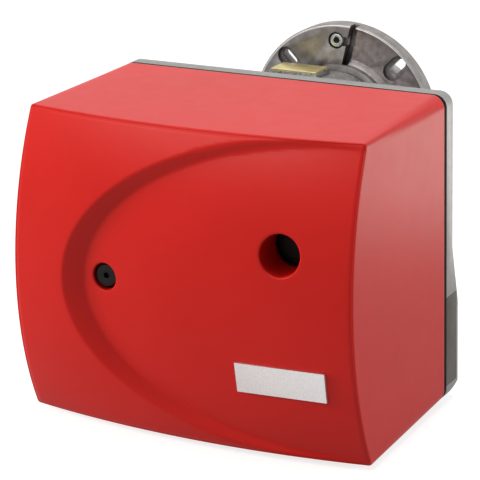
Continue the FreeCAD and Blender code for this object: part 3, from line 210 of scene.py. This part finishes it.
class Surface:
    """Collects loops of points and the quads between them."""

    def __init__(self):
        self.points = []
        self.faces = []
        self.count = 0

    def add(self, points):
        """Adds an (n, 3) array and returns the indices of its points."""
        start = self.count
        self.points.append(points)
        self.count += len(points)
        return np.arange(start, self.count)

    def band(self, inner, outer, closed=True):
        """Quads from one loop to the next; loops run anticlockwise seen from outside."""
        if closed:
            inner = np.append(inner, inner[0])
            outer = np.append(outer, outer[0])
        self.faces.append(np.stack([inner[:-1], outer[:-1], outer[1:], inner[1:]], axis=1))

    def piece(self, name):
        """Makes the Blender object, in metres."""
        mesh = bpy.data.meshes.new(name)
        points = np.concatenate(self.points) * MM
        faces = np.concatenate(self.faces)
        mesh.from_pydata(points.tolist(), [], faces.tolist())
        mesh.validate()
        obj = bpy.data.objects.new(name, mesh)
        scene.collection.objects.link(obj)
        mesh.shade_smooth()
        return obj


def lines(breaks, step):
    """Grid lines that hit every break, about one step apart between them."""
    parts = []
    for low, high in zip(breaks[:-1], breaks[1:]):
        parts.append(np.linspace(low, high, max(1, round((high - low) / step)) + 1)[:-1])
    return np.append(np.concatenate(parts), breaks[-1])


def rim_back(x):
    """How far the hood's rear edge stands before the seal: wider in a smooth step at the right."""
    share = np.clip((x - RIM_STEP[0]) / (RIM_STEP[1] - RIM_STEP[0]), 0.0, 1.0)
    return RIM_BACK[0] + (RIM_BACK[1] - RIM_BACK[0]) * share * share * (3 - 2 * share)


def outline(depth, count_x, count_z, inset=0.0):
    """Rounded trapezoid at a depth before the parting plane, anticlockwise from its lower left.

    Each side runs between the middles of two corner arcs and is walked by equal lengths."""
    share = depth / CORNER_DEPTH
    half_h = HALF_HEIGHT[0] + (HALF_HEIGHT[1] - HALF_HEIGHT[0]) * share - inset
    bottom = HALF_BOTTOM[0] + (HALF_BOTTOM[1] - HALF_BOTTOM[0]) * share - inset
    top = HALF_TOP[0] + (HALF_TOP[1] - HALF_TOP[0]) * share - inset
    radius = CORNER_ROUND[0] + (CORNER_ROUND[1] - CORNER_ROUND[0]) * min(share, 1.0) - inset
    corners = np.array([[-bottom, -half_h], [bottom, -half_h], [top, half_h], [-top, half_h]])
    mids, arcs = [], []
    for index in range(4):
        here = corners[index]
        before = corners[index - 1] - here
        after = corners[(index + 1) % 4] - here
        before = before / np.linalg.norm(before)
        after = after / np.linalg.norm(after)
        half = math.acos(float(before @ after)) / 2
        way = (before + after) / np.linalg.norm(before + after)
        centre = here + way * radius / math.sin(half)
        first = here + before * radius / math.tan(half) - centre
        last = here + after * radius / math.tan(half) - centre
        swing = np.linspace(0, 1, 17)[:, None]
        span = math.pi - 2 * half
        arc = (np.sin((1 - swing) * span) * first + np.sin(swing * span) * last) / math.sin(span)
        arcs.append(centre + arc)
    loop = []
    for index, count in enumerate((count_x, count_z, count_x, count_z)):
        path = np.concatenate([arcs[index][8:], arcs[(index + 1) % 4][:9]])
        along = np.append(0, np.cumsum(np.linalg.norm(np.diff(path, axis=0), axis=1)))
        at = np.linspace(0, along[-1], count)[:-1]
        loop.append(np.stack([np.interp(at, along, path[:, 0]), np.interp(at, along, path[:, 1])], 1))
    return np.concatenate(loop)


def window_loop(index, columns, rows):
    """Indices round a rectangle of the grid, anticlockwise from its lower left."""
    (c0, c1), (r0, r1) = columns, rows
    bottom = index[c0:c1, r0]
    right = index[c1, r0:r1]
    top = index[c1:c0:-1, r1]
    left = index[c0, r1:r0:-1]
    return np.concatenate([bottom, right, top, left])


def hood_shell():
    """Grid over the front, rings out to the rounded outline, then the side walls back to the rim.

    Each hole is a window of the grid whose loops shrink to a circle and run inwards. The last two
    rings before the outline make a V groove, and a quadratic curve rounds the edge."""
    s = Surface()
    windows = []
    for x, z, radius in (SCREW_HOLE, RESET_HOLE):
        reach = radius + WINDOW_MARGIN
        windows.append((x - reach, x + reach, z - reach, z + reach))
    half_x, half_z = GRID_HALF
    xs = lines(sorted([-half_x, half_x] + [w[0] for w in windows] + [w[1] for w in windows]), GRID_STEP)
    zs = lines(sorted([-half_z, half_z] + [w[2] for w in windows] + [w[3] for w in windows]), GRID_STEP)
    gx, gz = np.meshgrid(xs, zs, indexing="ij")
    grid = np.stack([gx, hood_y(gx, gz), gz + MIDDLE_Z], -1)
    index = s.add(grid.reshape(-1, 3)).reshape(gx.shape)
    keep = np.ones((len(xs) - 1, len(zs) - 1), bool)
    spans = []
    for x0, x1, z0, z1 in windows:
        c = [int(np.argmin(abs(xs - v))) for v in (x0, x1)]
        r = [int(np.argmin(abs(zs - v))) for v in (z0, z1)]
        keep[c[0]:c[1], r[0]:r[1]] = False
        spans.append((c, r))
    quads = np.stack([index[:-1, :-1], index[1:, :-1], index[1:, 1:], index[:-1, 1:]], -1)
    s.faces.append(quads[keep])

    flat = grid.reshape(-1, 3)
    ring = window_loop(index, (0, len(xs) - 1), (0, len(zs) - 1))
    inner = flat[ring][:, [0, 2]] - [0, MIDDLE_Z]
    far = outline(CORNER_DEPTH, len(xs), len(zs))
    near = outline(0.0, len(xs), len(zs))
    depth = front_depth(far[:, 0], far[:, 1])
    for _ in range(6):
        edge = near + (far - near) * (depth / CORNER_DEPTH)[:, None]
        depth = PARTING_Y - hood_y(edge[:, 0], edge[:, 1])
    outward = edge - inner
    gap = np.linalg.norm(outward, axis=1)[:, None]
    rounded_from = edge - outward / gap * EDGE_ROUND
    previous = ring
    groove_from = rounded_from - outward / gap * GROOVE[0]
    steps = [(inner + (groove_from - inner) * share, 0.0) for share in np.linspace(0, 1, 7)[1:]]
    steps += [((groove_from + rounded_from) / 2, GROOVE[1]), (rounded_from, 0.0)]
    for flat_point, sunk in steps:
        y = hood_y(flat_point[:, 0], flat_point[:, 1]) + sunk
        loop = s.add(np.stack([flat_point[:, 0], y, flat_point[:, 1] + MIDDLE_Z], 1))
        s.band(previous, loop)
        previous = loop
    start = np.stack([rounded_from[:, 0], y, rounded_from[:, 1] + MIDDLE_Z], 1)
    corner = np.stack([edge[:, 0], PARTING_Y - depth, edge[:, 1] + MIDDLE_Z], 1)

    def wall(back):
        """Point on the straight side wall, back millimetres behind the front edge."""
        at = depth - back
        flat_point = near + (far - near) * (at / CORNER_DEPTH)[:, None]
        return np.stack([flat_point[:, 0], PARTING_Y - at, flat_point[:, 1] + MIDDLE_Z], 1)

    end = wall(EDGE_ROUND)
    for t in (0.25, 0.5, 0.75, 1.0):
        loop = s.add((1 - t) ** 2 * start + 2 * t * (1 - t) * corner + t * t * end)
        s.band(previous, loop)
        previous = loop
    rim_depth = PARTING_Y - RIM_Y + rim_back(near[:, 0])
    for share in (0.01, 0.2, 0.4, 0.6, 0.8, 0.99, 1.0):
        loop = s.add(wall(EDGE_ROUND + (depth - EDGE_ROUND - rim_depth) * share))
        s.band(previous, loop)
        previous = loop

    for (x, z, radius), (c, r), end_depth in zip(
            (SCREW_HOLE, RESET_HOLE), spans, (SCREW_POCKET, RESET_TUBE)):
        previous = window_loop(index, c, r)
        square = flat[previous][:, [0, 2]] - [0, MIDDLE_Z]
        angle = np.arctan2(square[:, 1] - z, square[:, 0] - x)
        way = np.stack([np.cos(angle), np.sin(angle)], 1)
        lip = [x, z] + way * (radius + LIP)
        for share in np.linspace(0, 1, 9)[1:]:
            p = square + (lip - square) * share
            y = hood_y(p[:, 0], p[:, 1])
            loop = s.add(np.stack([p[:, 0], y, p[:, 1] + MIDDLE_Z], 1))
            s.band(loop, previous)
            previous = loop
        for t in np.linspace(0, math.pi / 2, 6)[1:]:
            p = [x, z] + way * (radius + LIP * (1 - math.sin(t)))
            loop = s.add(np.stack([p[:, 0], y + LIP * (1 - math.cos(t)), p[:, 1] + MIDDLE_Z], 1))
            s.band(loop, previous)
            previous = loop
        floor_y = float(hood_y(np.array(x), np.array(z))) + end_depth
        wall_y = y + LIP
        for share in np.linspace(0, 1, 7)[1:]:
            loop = s.add(np.stack([p[:, 0], wall_y + (floor_y - wall_y) * share,
                                   p[:, 1] + MIDDLE_Z], 1))
            s.band(loop, previous)
            previous = loop
        if end_depth == SCREW_POCKET:
            for inner_radius in POCKET_RINGS:
                p = [x, z] + way * inner_radius
                loop = s.add(np.stack([p[:, 0], np.full(len(p), floor_y), p[:, 1] + MIDDLE_Z], 1))
                s.band(loop, previous)
                previous = loop
    obj = s.piece("hood_shell")
    wall_thickness = obj.modifiers.new("wall", "SOLIDIFY")
    wall_thickness.thickness = HOOD_WALL * MM
    wall_thickness.offset = -1.0
    return obj


def seal_ring():
    """Square cord laid round the housing's rim: one section carried along the outline at depth 0."""
    s = Surface()
    back_y = PARTING_Y + SEAL_DEPTH
    corners = ((SEAL_INSET + SEAL_SOFT, 0.0), (SEAL_INSET, SEAL_SOFT), (SEAL_INSET, None),
               (SEAL_INNER, None), (SEAL_INNER, 0.0))
    loops = []
    for inset, behind_front in corners:
        flat_point = outline(0.0, *SEAL_POINTS, inset)
        y = RIM_Y - rim_back(flat_point[:, 0]) + SEAL_GAP
        y = np.full(len(y), back_y) if behind_front is None else y + behind_front
        loops.append(s.add(np.stack([flat_point[:, 0], y, flat_point[:, 1] + MIDDLE_Z], 1)))
    for index in range(len(loops)):
        s.band(loops[index - 1], loops[index])
    return s.piece("seal_ring")


def material(name, colour, roughness, metallic=0.0, specular=0.5):
    """Principled material with constant values on the shader's own sockets."""
    mat = bpy.data.materials.new(name)
    mat.use_nodes = True
    shader = mat.node_tree.nodes["Principled BSDF"]
    shader.inputs["Base Color"].default_value = (*colour, 1)
    shader.inputs["Roughness"].default_value = roughness
    shader.inputs["Metallic"].default_value = metallic
    shader.inputs["Specular IOR Level"].default_value = specular
    return mat


def noise(mat, scale, detail=4.0):
    """Noise texture on Object coordinates."""
    nodes, links = mat.node_tree.nodes, mat.node_tree.links
    coords = nodes.new("ShaderNodeTexCoord")
    tex = nodes.new("ShaderNodeTexNoise")
    tex.inputs["Scale"].default_value = scale
    tex.inputs["Detail"].default_value = detail
    links.new(coords.outputs["Object"], tex.inputs["Vector"])
    return tex.outputs["Fac"]


def add_bump(mat, fac, strength, distance):
    """Bump from a texture's value."""
    nodes, links = mat.node_tree.nodes, mat.node_tree.links
    bump = nodes.new("ShaderNodeBump")
    bump.inputs["Strength"].default_value = strength
    bump.inputs["Distance"].default_value = distance
    links.new(fac, bump.inputs["Height"])
    links.new(bump.outputs["Normal"], nodes["Principled BSDF"].inputs["Normal"])


def add_colour(mat, fac, dark, light, low=0.35, high=0.65):
    """Colour that runs from dark to light with a texture's value."""
    nodes, links = mat.node_tree.nodes, mat.node_tree.links
    ramp = nodes.new("ShaderNodeValToRGB")
    ramp.color_ramp.elements[0].position = low
    ramp.color_ramp.elements[0].color = (*dark, 1)
    ramp.color_ramp.elements[1].position = high
    ramp.color_ramp.elements[1].color = (*light, 1)
    links.new(fac, ramp.inputs["Fac"])
    links.new(ramp.outputs["Color"], nodes["Principled BSDF"].inputs["Base Color"])


def add_roughness(mat, fac, low, high):
    """Roughness that runs from low to high with a texture's value."""
    nodes, links = mat.node_tree.nodes, mat.node_tree.links
    spread = nodes.new("ShaderNodeMapRange")
    spread.inputs["To Min"].default_value = low
    spread.inputs["To Max"].default_value = high
    links.new(fac, spread.inputs["Value"])
    links.new(spread.outputs["Result"], nodes["Principled BSDF"].inputs["Roughness"])


def colour_source(mat):
    """Socket that feeds the base colour now."""
    return mat.node_tree.nodes["Principled BSDF"].inputs["Base Color"].links[0].from_socket


def mix_colour(mat, fac, first, second, blend="MIX"):
    """Base colour that goes from first to second with fac; each may be a socket or a value."""
    nodes, links = mat.node_tree.nodes, mat.node_tree.links
    mix = nodes.new("ShaderNodeMix")
    mix.data_type = "RGBA"
    mix.blend_type = blend
    for index, given in ((0, fac), (6, first), (7, second)):
        if isinstance(given, bpy.types.NodeSocket):
            links.new(given, mix.inputs[index])
        else:
            mix.inputs[index].default_value = given
    links.new(mix.outputs[2], nodes["Principled BSDF"].inputs["Base Color"])


def along_y(mat):
    """Y of the shaded point."""
    nodes, links = mat.node_tree.nodes, mat.node_tree.links
    coords = nodes.new("ShaderNodeTexCoord")
    parts = nodes.new("ShaderNodeSeparateXYZ")
    links.new(coords.outputs["Object"], parts.inputs["Vector"])
    return parts.outputs["Y"]


def off_axis(mat, axis_x=0.0, axis_z=0.0):
    """Distance of the shaded point from an axis along Y."""
    nodes, links = mat.node_tree.nodes, mat.node_tree.links
    coords = nodes.new("ShaderNodeTexCoord")
    flat = nodes.new("ShaderNodeMapping")
    flat.inputs["Scale"].default_value = (1, 0, 1)
    flat.inputs["Location"].default_value = (-axis_x, 0, -axis_z)
    length = nodes.new("ShaderNodeVectorMath")
    length.operation = "LENGTH"
    links.new(coords.outputs["Object"], flat.inputs["Vector"])
    links.new(flat.outputs["Vector"], length.inputs[0])
    return length.outputs["Value"]


def step_mask(mat, value, low, high):
    """Runs from 0 at low to 1 at high; low may be the larger."""
    nodes, links = mat.node_tree.nodes, mat.node_tree.links
    step = nodes.new("ShaderNodeMapRange")
    step.inputs["From Min"].default_value = low
    step.inputs["From Max"].default_value = high
    links.new(value, step.inputs["Value"])
    return step.outputs["Result"]


def combine(nodes, links, operation, first, second, third=None):
    """Math node whose inputs may be sockets or numbers."""
    node = nodes.new("ShaderNodeMath")
    node.operation = operation
    for socket, given in zip(node.inputs, (first, second, third)):
        if isinstance(given, bpy.types.NodeSocket):
            links.new(given, socket)
        elif given is not None:
            socket.default_value = given
    return node.outputs[0]


def red_plastic():
    """Dyed plastic with a faint change of tone, a fine grain and painted shade in its holes and hollows.
    """
    mat = material("red_plastic", (0.60, 0.010, 0.006), 0.4, specular=0.25)
    add_colour(mat, noise(mat, 9.0, 3.0), (0.585, 0.009, 0.005), (0.62, 0.011, 0.007))
    # Painted shade: darkens the hood's holes, pocket and field wall by the sky's open share.
    paint_crevice_shade(mat, 0.030, 0.8)
    add_roughness(mat, noise(mat, 60.0, 3.0), 0.34, 0.42)
    add_bump(mat, noise(mat, 1500.0, 2.0), 0.04, 0.0002)
    return mat


def cast_metal(name, dark, light, rough=(0.42, 0.6), grain=0.25, scale=170.0):
    """As-cast aluminium: mottled grey with a fine sandy skin."""
    mat = material(name, light, 0.5, metallic=0.85)
    add_colour(mat, noise(mat, scale, 8.0), dark, light)
    add_roughness(mat, noise(mat, 120.0, 4.0), *rough)
    add_bump(mat, noise(mat, 900.0, 6.0), grain, 0.0004)
    return mat


def paint_crevice_shade(mat, distance, share):
    """Paints shade into the colour: multiplies it by the open share of the sky within a short distance, so
    crevices and holes come out darker.
    """
    hollow = mat.node_tree.nodes.new("ShaderNodeAmbientOcclusion")
    hollow.samples = 8
    hollow.only_local = True
    hollow.inputs["Distance"].default_value = distance
    mix_colour(mat, share, colour_source(mat), hollow.outputs["Color"], "MULTIPLY")


def flange_metal():
    """Sandy casting, a little lighter where it was machined: its front faces and its outer edge.

    The mask is the larger of two steps, one along Y at FACE_Y and one off the tube's axis at
    EDGE_FROM. A painted highlight runs round the lip's inner edge, only in front of FACE_Y."""
    mat = cast_metal("cast_flange", (0.225, 0.200, 0.200), (0.33, 0.300, 0.300), (0.38, 0.54), 0.35)
    nodes, links = mat.node_tree.nodes, mat.node_tree.links
    dark = colour_source(mat)
    add_colour(mat, noise(mat, 120.0, 6.0), (0.22, 0.205, 0.20), (0.31, 0.292, 0.288))
    light = colour_source(mat)
    reach = off_axis(mat)
    at_edge = step_mask(mat, reach, EDGE_FROM, EDGE_FROM + SOFT_STEP)
    in_front = step_mask(mat, along_y(mat), FACE_Y + SOFT_STEP, FACE_Y)
    mix_colour(mat, combine(nodes, links, "MAXIMUM", at_edge, in_front), dark, light)
    # Painted highlight: a light line round the lip's inner edge, on the front faces only.
    lip_highlight = combine(nodes, links, "COMPARE", reach, LIP_INNER * MM, LIP_SHINE)
    lip_highlight = combine(nodes, links, "MULTIPLY", lip_highlight, in_front)
    mix_colour(mat, lip_highlight, colour_source(mat), (0.56, 0.545, 0.54, 1))
    return mat


def housing_metal():
    """Cast housing; behind NECK_FROM its skin is coarsely mottled, with light speckles painted in as
    glints.
    """
    mat = cast_metal("cast_housing", (0.285, 0.281, 0.276), (0.325, 0.321, 0.316), (0.44, 0.54), 0.12)
    smooth = colour_source(mat)
    # Coarse mottle whose light speckles are painted glints.
    add_colour(mat, noise(mat, 420.0, 3.0), (0.20, 0.195, 0.19), (0.50, 0.49, 0.475), 0.38, 0.70)
    neck = step_mask(mat, along_y(mat), NECK_FROM, NECK_FROM + NECK_CHANGE)
    mix_colour(mat, neck, smooth, colour_source(mat))
    return mat


def clamp_zinc():
    """Zinc plated screw whose hexagon socket, within SOCKET_REACH of its axis, is painted dark inside as
    shade.
    """
    mat = plain_metal("clamp_zinc", (0.42, 0.45, 0.44), (0.54, 0.57, 0.56), (0.28, 0.38), 600.0)
    plated = step_mask(mat, off_axis(mat, *CLAMP_AT), SOCKET_REACH, SOCKET_REACH + SOCKET_SOFT)
    # Painted shade: the socket's inside is coloured near black.
    mix_colour(mat, plated, (0.03, 0.033, 0.033, 1), colour_source(mat))
    return mat


def plain_metal(name, dark, light, rough=(0.25, 0.4), scale=200.0):
    """Machined or plated metal with a slight variation."""
    mat = material(name, light, 0.3, metallic=1.0)
    add_colour(mat, noise(mat, scale, 4.0), dark, light)
    add_roughness(mat, noise(mat, scale * 2, 3.0), *rough)
    add_bump(mat, noise(mat, scale * 6, 3.0), 0.05, 0.0001)
    return mat


def plain_plastic(name, dark, light, rough=(0.4, 0.55), specular=0.5):
    """Moulded plastic or rubber with a fine spark-eroded texture."""
    mat = material(name, light, 0.5, specular=specular)
    add_colour(mat, noise(mat, 40.0, 4.0), dark, light)
    add_roughness(mat, noise(mat, 90.0, 3.0), *rough)
    add_bump(mat, noise(mat, 2200.0, 2.0), 0.12, 0.0002)
    return mat


def black_seal():
    """Dull black rubber with next to no sheen."""
    mat = material("seal_rubber", (0.01, 0.01, 0.01), 0.8, specular=0.1)
    add_colour(mat, noise(mat, 300.0, 3.0), (0.002, 0.002, 0.002), (0.004, 0.004, 0.004))
    add_roughness(mat, noise(mat, 200.0, 3.0), 0.7, 0.9)
    return mat


FINISHES = {
    "red_hood": red_plastic(),
    "badge_plate": plain_metal("silver_plate", (0.72, 0.72, 0.73), (0.84, 0.84, 0.85), (0.3, 0.42), 900.0),
    "black_plastic": plain_plastic("black_plastic", (0.010, 0.010, 0.010), (0.016, 0.015, 0.015),
                                   specular=0.15),
    "cast_aluminium": housing_metal(),
    "cast_flange": flange_metal(),
    "dark_cover": plain_plastic("dark_cover", (0.062, 0.053, 0.046), (0.083, 0.071, 0.062)),
    "seal_rubber": black_seal(),
    "zinc_steel": plain_metal("zinc_steel", (0.47, 0.49, 0.48), (0.56, 0.58, 0.57), (0.28, 0.38), 600.0),
    "yellow_zinc": plain_metal("yellow_zinc", (0.60, 0.50, 0.20), (0.75, 0.66, 0.33), (0.3, 0.45), 60.0),
    "tube_steel": plain_metal("tube_steel", (0.30, 0.29, 0.28), (0.46, 0.45, 0.44), (0.32, 0.5), 90.0),
    "motor_paint": plain_plastic("motor_paint", (0.045, 0.048, 0.052), (0.065, 0.07, 0.075), (0.35, 0.5)),
    "steel": plain_metal("plain_steel", (0.38, 0.38, 0.38), (0.52, 0.52, 0.52)),
    "copper": plain_metal("copper_pipe", (0.62, 0.28, 0.15), (0.78, 0.40, 0.25)),
    "brass": plain_metal("machined_brass", (0.62, 0.46, 0.17), (0.78, 0.60, 0.26)),
    "ceramic": plain_plastic("glazed_ceramic", (0.76, 0.73, 0.66), (0.82, 0.79, 0.72), (0.12, 0.2)),
    "transformer_grey": plain_plastic("potted_block", (0.03, 0.03, 0.032), (0.045, 0.045, 0.048)),
    "lead_rubber": plain_plastic("silicone_lead", (0.30, 0.03, 0.02), (0.36, 0.04, 0.03), (0.35, 0.5)),
    "knob_blue": plain_plastic("knob_plastic", (0.02, 0.05, 0.20), (0.03, 0.07, 0.25), (0.3, 0.4)),
    "scale_white": plain_plastic("dial_plastic", (0.70, 0.70, 0.68), (0.76, 0.76, 0.74)),
}
# Painted shade: these finishes are darkened in their crevices and hollows by the sky's open share.
for slot, reach in (("cast_flange", 0.013), ("cast_aluminium", 0.012), ("zinc_steel", 0.004),
                    ("steel", 0.006), ("motor_paint", 0.006), ("black_plastic", 0.006)):
    paint_crevice_shade(FINISHES[slot], reach, 0.85)
CLAMP_ZINC = clamp_zinc()

# Finish and body of each CAD node, from the record
SLOT_OF = {part["node"]: part["material_slot"] for part in frame["record"]["subparts"]}
BODY_OF = {node: body for body, nodes in frame["record"]["behaviour"]["bodies"].items()
           for node in nodes}


def finish_piece(obj, node):
    """Gives a new piece its finish and its body, and hides the CAD node that it stands for."""
    obj.data.materials.clear()
    obj.data.materials.append(CLAMP_ZINC if node == "clamp_screw" else FINISHES[SLOT_OF[node]])
    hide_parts(node)
    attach(obj, BODY_OF[node])


def step_x(z):
    """Edge of the flange's raised step at a height."""
    return STEP_LOW[0] + (z - STEP_LOW[1]) * STEP_SLOPE


def upright_block(loop, front, back):
    """Closed block over a loop of (x, z) points, from front to back along Y."""
    s = Surface()
    loop = np.array(loop)
    near = s.add(np.stack([loop[:, 0], np.full(len(loop), front), loop[:, 1]], 1))
    far = s.add(np.stack([loop[:, 0], np.full(len(loop), back), loop[:, 1]], 1))
    s.band(near, far)
    mesh = bpy.data.meshes.new("cutter")
    mesh.from_pydata((np.concatenate(s.points) * MM).tolist(), [],
                     np.concatenate(s.faces).tolist() + [near.tolist(), far[::-1].tolist()])
    work = bmesh.new()
    work.from_mesh(mesh)
    bmesh.ops.recalc_face_normals(work, faces=work.faces)
    work.to_mesh(mesh)
    work.free()
    block = bpy.data.objects.new("cutter", mesh)
    scene.collection.objects.link(block)
    return block


def widen_flange_recess(obj):
    """Takes the right floor out to a thin lip and cuts the slit beside the clamp's step.

    The ring's outer arc runs from below to the step's slanted edge; the left floor comes level
    with the front."""
    mesh = obj.data
    points = np.empty(len(mesh.vertices) * 3)
    mesh.vertices.foreach_get("co", points)
    points = points.reshape(-1, 3)
    level = abs(points[:, 1] - SHALLOW_FLOOR * MM) < MERGE_COARSE
    points[level, 1] = FLANGE_FRONT * MM
    mesh.vertices.foreach_set("co", points.ravel())
    top_angle = math.atan2(LIP_INNER, step_x(LIP_INNER) + STEP_CLEAR)
    swing = np.linspace(RING_START, top_angle, 120)
    outer = np.stack([LIP_INNER * np.cos(swing), LIP_INNER * np.sin(swing)], 1)
    inner = outer[::-1] * (RING_INNER / LIP_INNER)
    inner[0, 0] = step_x(inner[0, 1]) + STEP_CLEAR
    low, high = SLIT_ENDS
    slit = [(step_x(z) + shift, z) for z, shift in (
        (low, 0.0), (low, SLIT_WIDTH), (high, SLIT_WIDTH), (high, 0.0))]
    for loop, back in ((np.concatenate([outer, inner]), RECESS_FLOOR), (slit, SLIT_FLOOR)):
        cutter = upright_block(loop, FLANGE_FRONT - PAST_FRONT, back)
        cut = obj.modifiers.new("cut", "BOOLEAN")
        cut.operation = "DIFFERENCE"
        cut.solver = "EXACT"
        cut.object = cutter
        graph = bpy.context.evaluated_depsgraph_get()
        fresh = bpy.data.meshes.new_from_object(obj.evaluated_get(graph))
        obj.modifiers.remove(cut)
        obj.data = fresh
        bpy.data.objects.remove(cutter)


def set_back_badge(obj):
    """Moves the plate back with the field that it lies on."""
    obj.data.transform(mathutils.Matrix.Translation((0, FIELD_SET_BACK * MM, 0)))


def merge_points(mesh, reach, flatten=False):
    """Merges points closer than reach and, on wish, the facets of each flat face."""
    work = bmesh.new()
    work.from_mesh(mesh)
    bmesh.ops.remove_doubles(work, verts=work.verts, dist=reach)
    if flatten:
        bmesh.ops.dissolve_limit(work, angle_limit=FLAT_ANGLE, verts=work.verts, edges=work.edges)
    work.to_mesh(mesh)
    work.free()


def softened(node, width, shape=None):
    """Copy of a CAD node with its doubles merged, reshaped if asked, and its edges bevelled."""
    source = frame["nodes"][node]
    mesh = source.data.copy()
    merge_points(mesh, MERGE_FINE)
    mesh.transform(source.matrix_world)
    if shape:
        holder = bpy.data.objects.new("holder", mesh)
        scene.collection.objects.link(holder)
        shape(holder)
        mesh = holder.data
        bpy.data.objects.remove(holder)
    merge_points(mesh, MERGE_COARSE if shape else MERGE_FINE, flatten=True)
    obj = bpy.data.objects.new(node + "_finished", mesh)
    scene.collection.objects.link(obj)
    mesh.shade_smooth()
    bevel = obj.modifiers.new("edges", "BEVEL")
    bevel.width = width
    bevel.segments = 2
    bevel.limit_method = "ANGLE"
    bevel.angle_limit = EDGE_ANGLE
    bevel.harden_normals = True
    bevel.use_clamp_overlap = True
    finish_piece(obj, node)
    return obj


def set_camera():
    """Camera fitted to the photograph: three-quarter view from the right and above."""
    azimuth, elevation, roll = (math.radians(v) for v in CAMERA_TURN)
    back = np.array([math.sin(azimuth) * math.cos(elevation),
                     -math.cos(azimuth) * math.cos(elevation), math.sin(elevation)])
    right = np.cross(-back, [0, 0, 1])
    right = right / np.linalg.norm(right)
    up = np.cross(back, right)
    turned_right = math.cos(roll) * right + math.sin(roll) * up
    turned_up = -math.sin(roll) * right + math.cos(roll) * up
    data = bpy.data.cameras.new("camera")
    data.lens = CAMERA_LENS
    data.sensor_width = 36.0
    data.shift_x, data.shift_y = CAMERA_SHIFT
    data.clip_end = 50
    camera = bpy.data.objects.new("camera", data)
    scene.collection.objects.link(camera)
    axes = np.eye(4)
    axes[:3, :] = np.stack([turned_right, turned_up, back, CAMERA_EYE], 1)
    camera.matrix_world = mathutils.Matrix(axes.tolist())
    scene.camera = camera


def seen_ray(nodes, links):
    """1 for a ray from the camera, through glass or off gloss, and 0 for one that lights the object."""
    rays = nodes.new("ShaderNodeLightPath")
    seen = rays.outputs["Is Camera Ray"]
    for kind in ("Is Glossy Ray", "Is Transmission Ray"):
        seen = combine(nodes, links, "MAXIMUM", seen, rays.outputs[kind])
    return seen


def set_lights():
    """Large soft lamps above, before and beside the object in a pale room."""
    scene.view_settings.view_transform = "Standard"
    world = bpy.data.worlds.new("room")
    scene.world = world
    world.use_nodes = True
    nodes, links = world.node_tree.nodes, world.node_tree.links
    sky = nodes["Background"]
    sky.inputs["Color"].default_value = (1, 1, 1, 1)
    sky.inputs["Strength"].default_value = SKY_STRENGTH
    white = nodes.new("ShaderNodeBackground")
    white.inputs["Color"].default_value = (1, 1, 1, 1)
    white.inputs["Strength"].default_value = 1.0
    mix = nodes.new("ShaderNodeMixShader")
    links.new(seen_ray(nodes, links), mix.inputs["Fac"])
    links.new(sky.outputs["Background"], mix.inputs[1])
    links.new(white.outputs["Background"], mix.inputs[2])
    links.new(mix.outputs["Shader"], nodes["World Output"].inputs["Surface"])
    for name, (place, target, size, power, gloss) in LAMPS.items():
        data = bpy.data.lights.new(name, "AREA")
        data.color = LAMP_COLOUR
        data.shape = "RECTANGLE"
        data.size, data.size_y = size
        data.energy = power
        lamp = bpy.data.objects.new(name, data)
        lamp.visible_glossy = gloss
        lamp.visible_camera = False
        scene.collection.objects.link(lamp)
        way = mathutils.Vector(place) - mathutils.Vector(target)
        turn = way.to_track_quat("Z", "Y").to_matrix().to_4x4()
        lamp.matrix_world = mathutils.Matrix.Translation(place) @ turn


def set_floor():
    """Pale floor under the burner, white to the camera."""
    mesh = bpy.data.meshes.new("floor")
    size = FLOOR_HALF
    z = float(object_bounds()[0][2]) - FLOOR_DROP
    corners = [(-size, -size, z), (size, -size, z), (size, size, z), (-size, size, z)]
    mesh.from_pydata(corners, [], [(0, 1, 2, 3)])
    floor = bpy.data.objects.new("floor", mesh)
    scene.collection.objects.link(floor)
    mat = material("floor_white", FLOOR_COLOUR, 0.9)
    nodes, links = mat.node_tree.nodes, mat.node_tree.links
    shader = nodes["Principled BSDF"]
    shader.inputs["Emission Color"].default_value = (1, 1, 1, 1)
    rays = nodes.new("ShaderNodeLightPath")
    total = 0.0
    for kind, share in FLOOR_GLOW.items():
        total = combine(nodes, links, "MULTIPLY_ADD", rays.outputs[kind], share, total)
    links.new(total, shader.inputs["Emission Strength"])
    mesh.materials.append(mat)


finish_piece(hood_shell(), "hood")
finish_piece(seal_ring(), "hood_seal")
DONE = {"hood", "hood_seal"}

# CAD nodes whose copies get a bevel, in metres, and those that are reshaped first
BEVELS = {"housing": 0.0012, "mount_flange": 0.0004, "side_cover": 0.0006, "hood_badge": 0.0005,
          "neck_plate": 0.0003, "hood_screw": 0.0006, "clamp_screw": 0.0005, "reset_button": 0.0006}
SHAPES = {"mount_flange": widen_flange_recess, "hood_badge": set_back_badge}

for node in frame["nodes"]:
    if node in BEVELS:
        softened(node, BEVELS[node], shape=SHAPES.get(node))
    elif node not in DONE:
        obj = frame["nodes"][node]
        obj.data.materials.clear()
        obj.data.materials.append(FINISHES[SLOT_OF[node]])

set_camera()
set_lights()
set_floor()
